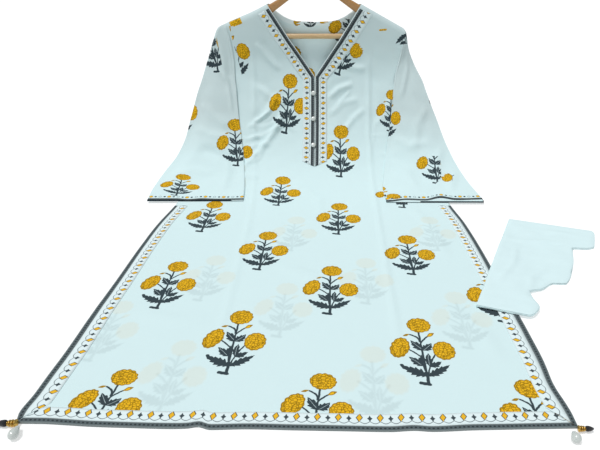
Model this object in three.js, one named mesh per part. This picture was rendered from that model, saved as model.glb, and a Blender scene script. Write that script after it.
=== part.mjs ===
// Kurti and folded bottoms on a wooden hanger: the bodice hangs, the skirt lies flat in front of it.
// Millimetres, +X to the right, +Y away from the viewer, +Z up, origin where a rod holds the hook.
import * as THREE from 'three';

// ---- Cloth ----------------------------------------------------------------------------------
const CLOTH = 1;            // wall of one layer
const SEAM_GAP = 0.3;       // clear space between pieces that are sewn or lie together
const LAYER = CLOTH + SEAM_GAP;

// How the garment lies: slope in degrees at a length along the cloth, measured up from the hem.
const DRAPE = [
  { along: 510, slope: 0 },
  { along: 570, slope: 7.5 },
  { along: 630, slope: 22 },
  { along: 680, slope: 41 },
  { along: 740, slope: 52 },
  { along: 840, slope: 62 },
  { along: 930, slope: 90 },
];

// Half width of the skirt and the side seam.
const SIDE = [
  { along: 0, half: 291 },
  { along: 40, half: 293 },
  { along: 120, half: 288.5 },
  { along: 190, half: 286 },
  { along: 270, half: 281.5 },
  { along: 360, half: 277.5 },
  { along: 450, half: 270.5 },
  { along: 525, half: 259 },
  { along: 600, half: 252 },
  { along: 680, half: 249 },
  { along: 758, half: 250 },
];

// The hem's own curve: how far along the cloth its edge lies, from the left corner to the right.
const HEM = [
  { across: -291, along: 6.8 },
  { across: -262, along: 6.5 },
  { across: -210, along: 2.9 },
  { across: -128, along: 0.2 },
  { across: -20, along: -1.4 },
  { across: 80, along: -3.6 },
  { across: 146, along: -3 },
  { across: 220, along: -0.8 },
  { across: 262, along: 0.2 },
  { across: 291, along: 1 },
];
const HEM_FADE = 40;        // rows above this height lie straight

// Armhole, from the underarm to the end of the shoulder.
const ARMHOLE = [
  { along: 758, across: 250 },
  { along: 770, across: 214 },
  { along: 788, across: 187 },
  { along: 812, across: 173 },
  { along: 845, across: 168 },
  { along: 890, across: 171 },
  { along: 925, across: 176 },
  { along: 955, across: 182 },
];

// Neck and shoulders.
const NECK_HALF = 94.5;     // half width of the neck at the shoulder
const NECK_TOP = 1001;      // height of the neck point along the cloth
const SHOULDER_END = { across: 182, along: 955 };
const V_BOTTOM = 854;       // where the neck's V ends and the placket slit starts
const SLIT_END = 657;       // where the placket slit ends
const SLIT_HALF = 0.4;
const BACK_NECK = [
  { across: 0, along: 965 },
  { across: 36, along: 967 },
  { across: 58, along: 974 },
  { across: 74, along: 984 },
  { across: 84, along: 992 },
];

// Borders: widths across the strip.
const BAND = 18.5;          // white band at hem and side slits
const TAPE = 7;             // charcoal tape outside it
const NECK_BORDER = 25;
const NECK_TAPE = 6;
const NECK_TAPE_INSET = 1.8;
const CUFF_TAPE = 4;
const SIDE_SLIT_TOP = 523;

// Hanger.
const ARM_THICK = 11.4;
const HANGER_LIFT = 8.5;    // its middle plane, off the back of the garment
const DOWEL_RADIUS = 5.25;
const DOWEL_ALONG = 939;
const DOWEL_END = 150;      // inner face of each arm's end block
const HANGER_TOP = 1056;
const HOOK_WIRE = 1.9;
const HOOK_RADIUS = 21;
const HOOK_CENTRE = 1101;   // height of the hook's round part

// ---- Materials ------------------------------------------------------------------------------
const cotton = new THREE.MeshStandardMaterial({ color: 0xe6f0f1, roughness: 0.9, metalness: 0 });
const borderCotton = new THREE.MeshStandardMaterial({ color: 0xf3f7f6, roughness: 0.9, metalness: 0 });
const charcoal = new THREE.MeshStandardMaterial({ color: 0x4a565c, roughness: 0.9, metalness: 0 });
const wood = new THREE.MeshStandardMaterial({ color: 0xc49a6c, roughness: 0.45, metalness: 0 });
const steel = new THREE.MeshStandardMaterial({ color: 0xb9bcc0, roughness: 0.25, metalness: 1 });
const pearl = new THREE.MeshStandardMaterial({ color: 0xf1f0ea, roughness: 0.25, metalness: 0 });
const gilt = new THREE.MeshStandardMaterial({ color: 0xc9a24a, roughness: 0.3, metalness: 1 });
const blackThread = new THREE.MeshStandardMaterial({ color: 0x121212, roughness: 0.85, metalness: 0 });

// ---- The drape ------------------------------------------------------------------------------
const degrees = Math.PI / 180;
const mix = (a, b, t) => a + (b - a) * t;
const clamp01 = (t) => Math.min(1, Math.max(0, t));

// Straight interpolation in a table of rows with a named key and a named value.
function lookUp(table, key, value, at) {
  if (at <= table[0][key]) return table[0][value];
  for (let i = 1; i < table.length; i++) {
    const low = table[i - 1];
    const high = table[i];
    if (at <= high[key]) return mix(low[value], high[value], (at - low[key]) / (high[key] - low[key]));
  }
  return table[table.length - 1][value];
}

const TRACE_STEP = 5;
const TRACE_START = -40;
const TRACE_END = 1200;
const trace = [];
for (let along = TRACE_START, y = TRACE_START, z = 0; along <= TRACE_END; along += TRACE_STEP) {
  trace.push({ along, y, z });
  const slope = lookUp(DRAPE, 'along', 'slope', along + TRACE_STEP / 2) * degrees;
  y += Math.cos(slope) * TRACE_STEP;
  z += Math.sin(slope) * TRACE_STEP;
}

// The hook's inside top is the origin.
const ORIGIN_ALONG = HOOK_CENTRE + HOOK_RADIUS - HOOK_WIRE;
const ORIGIN_Y = lookUp(trace, 'along', 'y', ORIGIN_ALONG) - HANGER_LIFT;
const ORIGIN_Z = lookUp(trace, 'along', 'z', ORIGIN_ALONG);

// A point of the garment: across from its centre line, along from the hem, lifted off its back.
function place(across, along, lift) {
  const slope = lookUp(DRAPE, 'along', 'slope', along) * degrees;
  const y = lookUp(trace, 'along', 'y', along) - lift * Math.sin(slope);
  const z = lookUp(trace, 'along', 'z', along) + lift * Math.cos(slope);
  return new THREE.Vector3(across, y - ORIGIN_Y, z - ORIGIN_Z);
}

// ---- Closed walls from rows of points -------------------------------------------------------
const WELD = 1000;          // vertices closer than a thousandth of a millimetre are one

// patches: { rows, flip }, rows of points on the face that shows. The wall grows behind that face.
function wallGeometry(patches, thickness = CLOTH) {
  const points = [];
  const known = new Map();
  const vertex = (p) => {
    const key = [p.x, p.y, p.z].map((c) => Math.round(c * WELD)).join(',');
    if (!known.has(key)) known.set(key, points.push(p.clone()) - 1);
    return known.get(key);
  };
  const faces = [];
  const addFace = (a, b, c) => { if (a !== b && b !== c && a !== c) faces.push([a, b, c]); };
  for (const { rows, flip } of patches) {
    const ids = rows.map((row) => row.map(vertex));
    for (let i = 0; i + 1 < ids.length; i++) {
      for (let j = 0; j + 1 < ids[i].length; j++) {
        const corner = [ids[i][j], ids[i][j + 1], ids[i + 1][j + 1], ids[i + 1][j]];
        if (flip) corner.reverse();
        addFace(corner[0], corner[1], corner[2]);
        addFace(corner[0], corner[2], corner[3]);
      }
    }
  }
  const normals = points.map(() => new THREE.Vector3());
  const borders = new Map();
  for (const face of faces) {
    const [a, b, c] = face.map((id) => points[id]);
    const normal = new THREE.Vector3().crossVectors(b.clone().sub(a), c.clone().sub(a));
    for (const id of face) normals[id].add(normal);
    face.forEach((from, k) => {
      const to = face[(k + 1) % 3];
      if (!borders.delete(`${to},${from}`)) borders.set(`${from},${to}`, [from, to]);
    });
  }
  const count = points.length;
  const position = [];
  for (const p of points) position.push(p.x, p.y, p.z);
  points.forEach((p, id) => {
    const inner = p.clone().addScaledVector(normals[id].normalize(), -thickness);
    position.push(inner.x, inner.y, inner.z);
  });
  const index = [];
  for (const [a, b, c] of faces) index.push(a, b, c, c + count, b + count, a + count);
  for (const [from, to] of borders.values()) {
    index.push(to, from, from + count, to, from + count, to + count);
  }
  const geometry = new THREE.BufferGeometry();
  geometry.setAttribute('position', new THREE.Float32BufferAttribute(position, 3));
  geometry.setIndex(index);
  return geometry;
}

// ---- Where each layer lies ------------------------------------------------------------------
const MEET = HANGER_LIFT;   // front and back meet over the hanger at this lift
const MEET_HALF = 0.6;      // half the gap between their folded edges
const WRAP = 12;            // the last stretch of a panel that bends over the hanger
const shoulderSlope = (NECK_TOP - SHOULDER_END.along) / (SHOULDER_END.across - NECK_HALF);
const belowShoulder = (across, along) => NECK_TOP - (Math.abs(across) - NECK_HALF) * shoulderSlope - along;

const FRONT_LIFT = [
  { along: 690, lift: 2 * CLOTH + SEAM_GAP },
  { along: 760, lift: 3.2 },
  { along: 800, lift: 5 },
  { along: 840, lift: 8 },
  { along: 880, lift: 12.3 },
  { along: 920, lift: 16 },
  { along: 945, lift: 16.3 },
];
// How far the back panel is drawn forward at its side and armhole, to meet the front there.
const BACK_DRAWN = [
  { along: 690, lift: 0 },
  { along: 758, lift: 0.8 },
  { along: 790, lift: 2 },
  { along: 815, lift: 3.6 },
  { along: 845, lift: 5.6 },
  { along: 880, lift: 2.4 },
  { along: 915, lift: 0 },
];

function bend(across, along) {
  const t = clamp01(belowShoulder(across, along) / WRAP);
  return Math.sqrt(1 - (1 - t) * (1 - t));
}
function frontLift(across, along) {
  const open = lookUp(FRONT_LIFT, 'along', 'lift', along);
  return mix(MEET + MEET_HALF, open, bend(across, along));
}
function backLift(across, along) {
  const edge = Math.abs(across) / lookUp(SIDE, 'along', 'half', Math.min(along, 758));
  const drawn = lookUp(BACK_DRAWN, 'along', 'lift', along) * Math.min(1, edge * edge * 2);
  return mix(MEET - MEET_HALF, drawn, bend(across, along));
}

// ---- Front and back -------------------------------------------------------------------------
const PANEL_COLUMNS = 7;
const side = (along) => lookUp(SIDE, 'along', 'half', along);
const armhole = (along) => lookUp(ARMHOLE, 'along', 'across', along);
const neckEdge = (along) => mix(SLIT_HALF, NECK_HALF, clamp01((along - V_BOTTOM) / (NECK_TOP - V_BOTTOM)));

// Rows up to the underarm are the same on both panels.
const BEND_ALONGS = [570, 590, 610, 630, 657, 680, 700, 720, 740, 758];
const SKIRT_ALONGS = [40, 120, 190, 270, 360, 450, 510, 530, 550, ...BEND_ALONGS];
const hemRow = { inAcross: 0, inAlong: 0, outAcross: SIDE[0].half, outAlong: 0 };
const hemAlong = (across) => lookUp(HEM, 'across', 'along', across);
const bendHem = (across, along) => along + hemAlong(across) * clamp01(1 - along / HEM_FADE);
function skirtRow(along, inAcross) {
  return { inAcross, inAlong: along, outAcross: side(along), outAlong: along };
}

function frontRows() {
  const rows = [hemRow];
  for (const along of SKIRT_ALONGS) rows.push(skirtRow(along, along > SLIT_END ? SLIT_HALF : 0));
  const bodice = [
    { inAlong: 772, outAlong: 770 },
    { inAlong: 792, outAlong: 788 },
    { inAlong: 820, outAlong: 812 },
    { inAlong: 854, outAlong: 845 },
    { inAlong: 885, outAlong: 870 },
    { inAlong: 920, outAlong: 895 },
    { inAlong: 955, outAlong: 920 },
    { inAlong: NECK_TOP - WRAP, outAlong: SHOULDER_END.along - WRAP },
    { inAlong: NECK_TOP - 7, outAlong: SHOULDER_END.along - 7 },
    { inAlong: NECK_TOP - 3, outAlong: SHOULDER_END.along - 3 },
    { inAlong: NECK_TOP - 0.8, outAlong: SHOULDER_END.along - 0.8 },
    { inAlong: NECK_TOP, outAlong: SHOULDER_END.along },
  ];
  for (const { inAlong, outAlong } of bodice) {
    rows.push({ inAcross: neckEdge(inAlong), inAlong, outAcross: armhole(outAlong), outAlong });
  }
  return rows;
}

function backRows() {
  const rows = [hemRow];
  for (const along of SKIRT_ALONGS) rows.push(skirtRow(along, 0));
  const bodice = [
    { inAlong: 780, outAlong: 770 },
    { inAlong: 808, outAlong: 788 },
    { inAlong: 840, outAlong: 812 },
    { inAlong: 885, outAlong: 845 },
    { inAlong: 930, outAlong: 875 },
  ];
  for (const { inAlong, outAlong } of bodice) {
    rows.push({ inAcross: 0, inAlong, outAcross: armhole(outAlong), outAlong });
  }
  const shoulderRise = [900, 915, 928, 937, SHOULDER_END.along - WRAP];
  BACK_NECK.forEach(({ across, along }, i) => {
    const outAlong = shoulderRise[i];
    rows.push({ inAcross: across, inAlong: along, outAcross: armhole(outAlong), outAlong });
  });
  for (const short of [7, 3, 0.8, 0]) {
    const reach = mix(BACK_NECK[BACK_NECK.length - 1].across, NECK_HALF, 1 - short / WRAP);
    const inAlong = NECK_TOP - (reach - NECK_HALF) * shoulderSlope - short;
    const outAlong = SHOULDER_END.along - short;
    rows.push({ inAcross: reach, inAlong, outAcross: armhole(outAlong), outAlong });
  }
  return rows;
}

function panelWall(rows, liftAt, facesBack) {
  const half = (sign) => rows.map((row) => {
    const points = [];
    for (let j = 0; j <= PANEL_COLUMNS; j++) {
      const t = j / PANEL_COLUMNS;
      const across = sign * mix(row.inAcross, row.outAcross, t);
      const along = bendHem(across, mix(row.inAlong, row.outAlong, t));
      points.push(place(across, along, liftAt(across, along)));
    }
    return points;
  });
  return wallGeometry([{ rows: half(1), flip: facesBack }, { rows: half(-1), flip: !facesBack }]);
}

// ---- Sleeves --------------------------------------------------------------------------------
// One sheet folded at its outer edge, its two long edges meeting at the underarm seam below the
// armhole (closed 1) and sewn to the front and back above it (closed 0).
const SLEEVE = [
  { inner: 182.6, along: 954, left: 184, right: 183.6, outerAlong: 954, front: 9.4, back: 7.6, closed: 0 },
  { inner: 180.4, along: 943, left: 199, right: 189, outerAlong: 947, front: 15.5, back: 1.2, closed: 0 },
  { inner: 177.5, along: 931, left: 207, right: 193, outerAlong: 935, front: 16.3, back: 0, closed: 0 },
  { inner: 174, along: 908, left: 217, right: 196.5, outerAlong: 912, front: 15.8, back: 0, closed: 0 },
  { inner: 171, along: 880, left: 229, right: 209.5, outerAlong: 880, front: 14, back: 2.4, closed: 0 },
  { inner: 169.5, along: 851, left: 239, right: 226.5, outerAlong: 845, front: 13.4, back: 8.4, closed: 0.3 },
  { inner: 166, along: 825, left: 247, right: 235, outerAlong: 820, front: 13.4, back: 8.8, closed: 1 },
  { inner: 163, along: 795, left: 255, right: 246, outerAlong: 790, front: 13, back: 6.6, closed: 1 },
  { inner: 159, along: 758, left: 263, right: 258, outerAlong: 758, front: 12, back: 4.4, closed: 1 },
  { inner: 153, along: 720, left: 271, right: 270, outerAlong: 720, front: 11, back: 3.4, closed: 1 },
  { inner: 147, along: 680, left: 285, right: 284, outerAlong: 680, front: 10, back: 3, closed: 1 },
  { inner: 142, along: 640, left: 304, right: 298, outerAlong: 640, front: 9, back: 3, closed: 1 },
  { inner: 138, along: 605, left: 314, right: 309, outerAlong: 605, front: 8.2, back: 3, closed: 1 },
  { inner: 135, along: 575, left: 318, right: 318, outerAlong: 575, front: 7.6, back: 3, closed: 1 },
  { inner: 133, along: 544, left: 317, right: 325, outerAlong: 543, front: 7.2, back: 3, closed: 1 },
];
const CUFF_DROP = 8.5;      // the sleeve's under layer hangs this much lower at the cuff
const FLAT_STEPS = 4;       // columns along each layer of the sleeve
const FOLD_STEPS = 4;       // columns round its outer fold

// The sleeve's section at one row: fraction across, lift, and how much of the cuff's drop it takes.
function sleeveSection({ front, back, closed }, width) {
  const radius = (front - back) / 2;
  const middle = (front + back) / 2;
  const edge = (radius / width) * closed;
  const upper = [
    { t: 0, lift: mix(front, middle + SEAM_GAP, closed), low: 0 },
    { t: edge * 0.35, lift: mix(front, middle + radius * 0.8, closed), low: 0 },
  ];
  for (let k = 0; k < FLAT_STEPS; k++) {
    upper.push({ t: mix(edge + 0.04, 1 - radius / width, k / FLAT_STEPS), lift: front, low: 0 });
  }
  const fold = [];
  for (let k = 0; k <= FOLD_STEPS; k++) {
    const angle = Math.PI * (0.5 - k / FOLD_STEPS);
    fold.push({
      t: 1 - (radius / width) * (1 - Math.cos(angle)),
      lift: middle + radius * Math.sin(angle),
      low: k / FOLD_STEPS,
    });
  }
  const lower = upper.map(({ t, lift }) => ({ t, lift: front + back - lift, low: 1 })).reverse();
  return [...upper, ...fold, ...lower];
}

// Above the underarm the table's own rows; below it rows at the body's stations, so that the layers
// keep their distance round the bend; last the cuff.
function sleeveRows() {
  const upper = SLEEVE.filter((row) => row.along > 760);
  const rising = [...SLEEVE].reverse();
  const lower = [...BEND_ALONGS].reverse().map((along) => {
    const row = {};
    for (const key of Object.keys(SLEEVE[0])) row[key] = lookUp(rising, 'along', key, along);
    return { ...row, along, outerAlong: along };
  });
  return [...upper, ...lower, SLEEVE[SLEEVE.length - 1]];
}

const outerEdge = (row, sign) => (sign < 0 ? row.left : row.right);

function sleeveWall(sign) {
  const source = sleeveRows();
  const rows = source.map((row, i) => {
    const drop = i === source.length - 1 ? CUFF_DROP : 0;
    const outer = outerEdge(row, sign);
    return sleeveSection(row, outer - row.inner).map(({ t, lift, low }) => {
      const along = mix(row.along, row.outerAlong, t) - low * drop;
      return place(sign * mix(row.inner, outer, t), along, lift);
    });
  });
  return wallGeometry([{ rows, flip: sign > 0 }]);
}

function cuffTapeWall(sign) {
  const hem = SLEEVE[SLEEVE.length - 1];
  const width = outerEdge(hem, sign) - hem.inner;
  const rows = [0, CUFF_TAPE].map((up) => {
    const points = [];
    for (let k = 0; k <= 8; k++) {
      const across = hem.inner + mix(6, width - 4, k / 8);
      points.push(place(sign * across, hem.along + up, hem.front + up * 0.02 + LAYER));
    }
    return points;
  });
  return wallGeometry([{ rows, flip: sign < 0 }]);
}

// ---- Borders on the front -------------------------------------------------------------------
// A point above the front's own faces, mixed between the two rows it lies between.
const FRONT_ROWS = frontRows();
function onFront(across, along, lift = LAYER) {
  const reach = Math.abs(across);
  const rowAlong = (row) => {
    const straight = mix(row.inAlong, row.outAlong, (reach - row.inAcross) / (row.outAcross - row.inAcross));
    return bendHem(across, straight);
  };
  const above = Math.max(1, FRONT_ROWS.findIndex((row) => rowAlong(row) >= along));
  const [low, high] = [above - 1, above].map((i) => rowAlong(FRONT_ROWS[i]));
  const [from, to] = [low, high].map((at) => place(across, at, frontLift(across, at) + lift));
  return from.lerp(to, (along - low) / (high - low));
}

const MITRE = SEAM_GAP;     // clear space at the hem's corners

function hemStrip(from, to) {
  const steps = 20;
  const rows = [from, to].map((up) => {
    const points = [];
    for (let k = 0; k <= steps; k++) {
      const across = (side(up) - up - MITRE) * mix(-1, 1, k / steps);
      points.push(onFront(across, hemAlong(across) + up));
    }
    return points;
  });
  return wallGeometry([{ rows, flip: false }]);
}

function slitStrip(sign, from, to) {
  const stations = [0, 40, 120, 190, 270, 360, 450, 487, SIDE_SLIT_TOP];
  const rows = stations.map((station, i) => [from, to].map((inset) => {
    const along = i === 0 ? hemAlong(sign * side(0)) + inset + MITRE : station;
    return onFront(sign * (side(along) - inset), along);
  }));
  return wallGeometry([{ rows, flip: sign > 0 }]);
}

// The neck's border follows the V and then the placket slit, to a point below the slit.
const vLength = Math.hypot(NECK_HALF - SLIT_HALF, NECK_TOP - V_BOTTOM);
const vOut = { across: (NECK_TOP - V_BOTTOM) / vLength, along: -(NECK_HALF - SLIT_HALF) / vLength };
const POINT_DROP = 10;      // the strips' lower ends rise this much from the centre outwards
const BORDER_START = 7;     // the strips start this far below the shoulder

// Across at a distance out from the neck's edge, at one height.
function neckAcross(out, along) {
  const edge = mix(SLIT_HALF, NECK_HALF, (along - V_BOTTOM) / (NECK_TOP - V_BOTTOM));
  return Math.max(SLIT_HALF + out, edge + out / vOut.across);
}

function neckStrip(sign, from, to, lift) {
  const columns = to - from > 10 ? 2 : 1;
  const outs = [];
  for (let k = 0; k <= columns; k++) outs.push(mix(from, to, k / columns));
  const lowest = outs.map((out) => {
    return onFront(sign * (SLIT_HALF + out), SLIT_END - 4 + (POINT_DROP * out) / NECK_BORDER, lift);
  });
  const rows = [lowest];
  for (const row of FRONT_ROWS) {
    if (row.inAlong <= SLIT_END + POINT_DROP || row.inAlong > NECK_TOP - BORDER_START) continue;
    rows.push(outs.map((out) => {
      let along = row.inAlong;
      let across = 0;
      for (let pass = 0; pass < 3; pass++) {
        across = neckAcross(out, along);
        along = mix(row.inAlong, row.outAlong, (across - row.inAcross) / (row.outAcross - row.inAcross));
      }
      return place(sign * across, along, frontLift(across, along) + lift);
    }));
  }
  return wallGeometry([{ rows, flip: sign < 0 }]);
}

// ---- Buttons, tassels -----------------------------------------------------------------------
const BUTTON = { radius: 4.6, height: 4.2, alongs: [821, 766, 707] };

function latheOf(profile, segments) {
  return new THREE.LatheGeometry(profile.map(([r, h]) => new THREE.Vector2(r, h)), segments);
}

function buttonMesh(along) {
  const { radius, height } = BUTTON;
  const profile = [
    [0, 0], [radius * 0.7, 0], [radius, height * 0.35], [radius * 0.85, height * 0.75],
    [radius * 0.45, height], [0, height],
  ];
  const mesh = new THREE.Mesh(latheOf(profile, 14), pearl);
  const across = -(SLIT_HALF + NECK_TAPE_INSET + NECK_TAPE / 2);
  const lift = 2 * LAYER + 2 * SEAM_GAP;
  const seat = onFront(across, along, lift);
  const outward = onFront(across, along, lift + 10).sub(seat).normalize();
  mesh.position.copy(seat);
  mesh.quaternion.setFromUnitVectors(new THREE.Vector3(0, 1, 0), outward);
  return mesh;
}

// Corner tassels lie on the rest: gilt beads off the corner, a black thread tip, a pearl drop.
const BEADS = { radius: 4.4, length: 11 };
const TIP = { radius: 3.6, length: 12 };
const DROP = { radius: 5.2, length: 16 };
// Profiles of the three, as shares of their radius and length.
const BEADS_PROFILE = [
  { out: 0, at: 0 }, { out: 0.7, at: 0.03 }, { out: 1, at: 0.17 }, { out: 0.62, at: 0.33 },
  { out: 0.95, at: 0.5 }, { out: 0.6, at: 0.67 }, { out: 0.85, at: 0.83 }, { out: 0.5, at: 1 },
  { out: 0, at: 1 },
];
const TIP_PROFILE = [
  { out: 0, at: 0 }, { out: 0.8, at: 0 }, { out: 1, at: 0.25 }, { out: 0.85, at: 0.55 },
  { out: 0.35, at: 0.93 }, { out: 0, at: 1 },
];
const DROP_PROFILE = [
  { out: 0, at: 0 }, { out: 0.35, at: 0.03 }, { out: 0.7, at: 0.25 }, { out: 1, at: 0.58 },
  { out: 0.8, at: 0.84 }, { out: 0.35, at: 0.97 }, { out: 0, at: 1 },
];

function turned(profile, size, material) {
  const points = profile.map(({ out, at }) => [out * size.radius, at * size.length]);
  return new THREE.Mesh(latheOf(points, 12), material);
}

function tasselMeshes(sign) {
  const across = SIDE[0].half + 0.4;
  const along = hemAlong(sign * side(0)) + 1;
  const up = BEADS.radius + 0.1;
  const beadsMesh = turned(BEADS_PROFILE, BEADS, gilt);
  beadsMesh.position.copy(place(sign * across, along, up));
  beadsMesh.rotation.z = -sign * Math.PI / 2;
  const tipMesh = turned(TIP_PROFILE, TIP, blackThread);
  tipMesh.position.copy(place(sign * (across + BEADS.length + SEAM_GAP), along, up));
  tipMesh.rotation.z = -sign * Math.PI / 2;
  const dropMesh = turned(DROP_PROFILE, DROP, pearl);
  const dropAlong = along - BEADS.radius - SEAM_GAP;
  dropMesh.position.copy(place(sign * (across + BEADS.length / 2), dropAlong, DROP.radius + 0.1));
  dropMesh.rotation.x = Math.PI;
  return { beadsMesh, tipMesh, dropMesh };
}

// ---- Hanger ---------------------------------------------------------------------------------
// Outline of the right half, from the top of the middle: across and height along the cloth.
const ARM_BELOW = 3.1;      // the arms' upper edge lies this far below the shoulder line
const ARM_OUTLINE = [
  { across: 0, along: HANGER_TOP },
  { across: 14, along: 1051 },
  { across: 40, along: 1029 },
  { across: 70, along: 1011 },
  { across: NECK_HALF, along: NECK_TOP - ARM_BELOW },
  { across: 172, along: NECK_TOP - (172 - NECK_HALF) * shoulderSlope - ARM_BELOW },
  { across: 179, along: 949 },
  { across: 180, along: 930 },
  { across: 174, along: 924 },
  { across: DOWEL_END, along: 928 },
  { across: DOWEL_END, along: 952 },
  { across: 110, along: 970 },
  { across: 82, along: 986.5 },
  { across: 54, along: 1006 },
  { across: 14, along: 1035 },
  { across: 0, along: 1038 },
];

function hangerArms() {
  const toPlane = ({ across, along }, sign) => new THREE.Vector2(sign * across, place(0, along, 0).z);
  const right = ARM_OUTLINE.map((p) => toPlane(p, 1));
  const left = ARM_OUTLINE.slice(1, -1).map((p) => toPlane(p, -1)).reverse();
  const shape = new THREE.Shape([...right, ...left]);
  const bevel = 4;
  const geometry = new THREE.ExtrudeGeometry(shape, {
    depth: ARM_THICK - 2 * bevel,
    bevelEnabled: true,
    bevelThickness: bevel,
    bevelSize: bevel,
    bevelOffset: -bevel,
    bevelSegments: 3,
    steps: 1,
  });
  geometry.rotateX(Math.PI / 2);
  const mesh = new THREE.Mesh(geometry, wood);
  mesh.position.y = ARM_THICK / 2 - bevel;
  return mesh;
}

function dowel() {
  const length = 2 * (DOWEL_END - SEAM_GAP);
  const mesh = new THREE.Mesh(new THREE.CylinderGeometry(DOWEL_RADIUS, DOWEL_RADIUS, length, 20), wood);
  mesh.rotation.z = Math.PI / 2;
  mesh.position.set(0, 0, place(0, DOWEL_ALONG, 0).z);
  return mesh;
}

function hook() {
  const centre = place(0, HOOK_CENTRE, 0).z;
  const foot = place(0, HANGER_TOP, 0).z + SEAM_GAP;
  const points = [new THREE.Vector3(0, 0, foot), new THREE.Vector3(0, 0, foot + 9)];
  const START = -62;
  const END = 205;
  const turns = 12;
  for (let k = 0; k <= turns; k++) {
    const angle = mix(START, END, k / turns) * degrees;
    points.push(new THREE.Vector3(HOOK_RADIUS * Math.cos(angle), 0, centre + HOOK_RADIUS * Math.sin(angle)));
  }
  const section = new THREE.Shape();
  section.absarc(0, 0, HOOK_WIRE, 0, 2 * Math.PI);
  const path = new THREE.CatmullRomCurve3(points);
  const geometry = new THREE.ExtrudeGeometry(section, {
    steps: 30,
    extrudePath: path,
    curveSegments: 4,
    bevelEnabled: false,
  });
  return new THREE.Mesh(geometry, steel);
}

// ---- Folded bottoms -------------------------------------------------------------------------
// A folded bundle beside the skirt, its left end lying on the skirt's edge.
const BUNDLE = { across: 231.5, along: 204.5, turn: 24.6 };
const BUNDLE_SKEW = 0.09;   // its ends are cut this much aslant
const BUNDLE_WIDTH = [
  { length: 0, width: 69 },
  { length: 9, width: 75.5 },
  { length: 24, width: 78.5 },
  { length: 43, width: 69 },
  { length: 60, width: 62.5 },
  { length: 75, width: 77 },
  { length: 98, width: 90 },
  { length: 104, width: 107.5 },
  { length: 129, width: 112.7 },
  { length: 165, width: 113.6 },
  { length: 216, width: 110.5 },
  { length: 223, width: 130 },
  { length: 233, width: 138.5 },
  { length: 280, width: 137.5 },
  { length: 289, width: 133 },
];
const BUNDLE_CLEAR = 14;    // it keeps its height this far past the skirt's edge,
const BUNDLE_FALL = 60;     // then sinks to the rest over this length
const BUNDLE_HEIGHT = 3.6;
const TOP_FOLD = { height: 1.6, inset: 2.5, from: 3, to: 286 };
const FOLD_GAP = 0.4;
const BUNDLE_LENGTH = 289;
const BUNDLE_STATIONS = [9, 24, 43, 60, 75, 98, 104, 129, 147, 165, 190, 216, 223, 233, 257, 280];

function bundlePoint(straight, out, up) {
  const turn = BUNDLE.turn * degrees;
  const length = straight + BUNDLE_SKEW * out;
  const across = BUNDLE.across + length * Math.sin(turn) + out * Math.cos(turn);
  const along = BUNDLE.along + length * Math.cos(turn) - out * Math.sin(turn);
  // It steps down from the skirt's border to the rest.
  const onSkirt = 1 - clamp01((across - side(along) - BUNDLE_CLEAR) / BUNDLE_FALL);
  const seat = mix(0.05, 2 * CLOTH + 2 * SEAM_GAP + LAYER, onSkirt);
  return place(across, along, seat + up);
}

// A slab between two heights over the table of widths, its upper edges rounded.
const BUNDLE_COLUMNS = 12;
const EDGE_ROUND = 1;       // the rim of each slab's upper face is this much lower

function bundleSlab(start, end, low, high, inset) {
  const inside = BUNDLE_STATIONS.filter((length) => length > start + 4 && length < end - 4);
  const stations = [start, ...inside, end];
  const rows = stations.length;
  const columns = BUNDLE_COLUMNS;
  const position = [];
  for (const up of [high, low]) {
    stations.forEach((length, i) => {
      const full = lookUp(BUNDLE_WIDTH, 'length', 'width', length) - inset;
      for (let k = 0; k <= columns; k++) {
        const onRim = i === 0 || i === rows - 1 || k === 0 || k === columns;
        const rounded = onRim && up === high ? up - EDGE_ROUND : up;
        const p = bundlePoint(length, mix(inset, full, k / columns), rounded);
        position.push(p.x, p.y, p.z);
      }
    });
  }
  const id = (layer, i, k) => (layer * rows + i) * (columns + 1) + k;
  const index = [];
  const addQuad = (a, b, c, d) => index.push(a, b, c, a, c, d);
  for (let i = 0; i + 1 < rows; i++) {
    for (let k = 0; k < columns; k++) {
      addQuad(id(0, i, k), id(0, i, k + 1), id(0, i + 1, k + 1), id(0, i + 1, k));
      addQuad(id(1, i + 1, k), id(1, i + 1, k + 1), id(1, i, k + 1), id(1, i, k));
    }
    addQuad(id(0, i + 1, 0), id(1, i + 1, 0), id(1, i, 0), id(0, i, 0));
    addQuad(id(0, i, columns), id(1, i, columns), id(1, i + 1, columns), id(0, i + 1, columns));
  }
  for (let k = 0; k < columns; k++) {
    addQuad(id(0, 0, k), id(1, 0, k), id(1, 0, k + 1), id(0, 0, k + 1));
    addQuad(id(0, rows - 1, k + 1), id(1, rows - 1, k + 1), id(1, rows - 1, k), id(0, rows - 1, k));
  }
  const geometry = new THREE.BufferGeometry();
  geometry.setAttribute('position', new THREE.Float32BufferAttribute(position, 3));
  geometry.setIndex(index);
  return geometry;
}

// ---- The set --------------------------------------------------------------------------------
const group = new THREE.Group();
function add(name, piece, material) {
  const mesh = piece.isMesh ? piece : new THREE.Mesh(piece, material);
  mesh.name = name;
  group.add(mesh);
}

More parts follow.
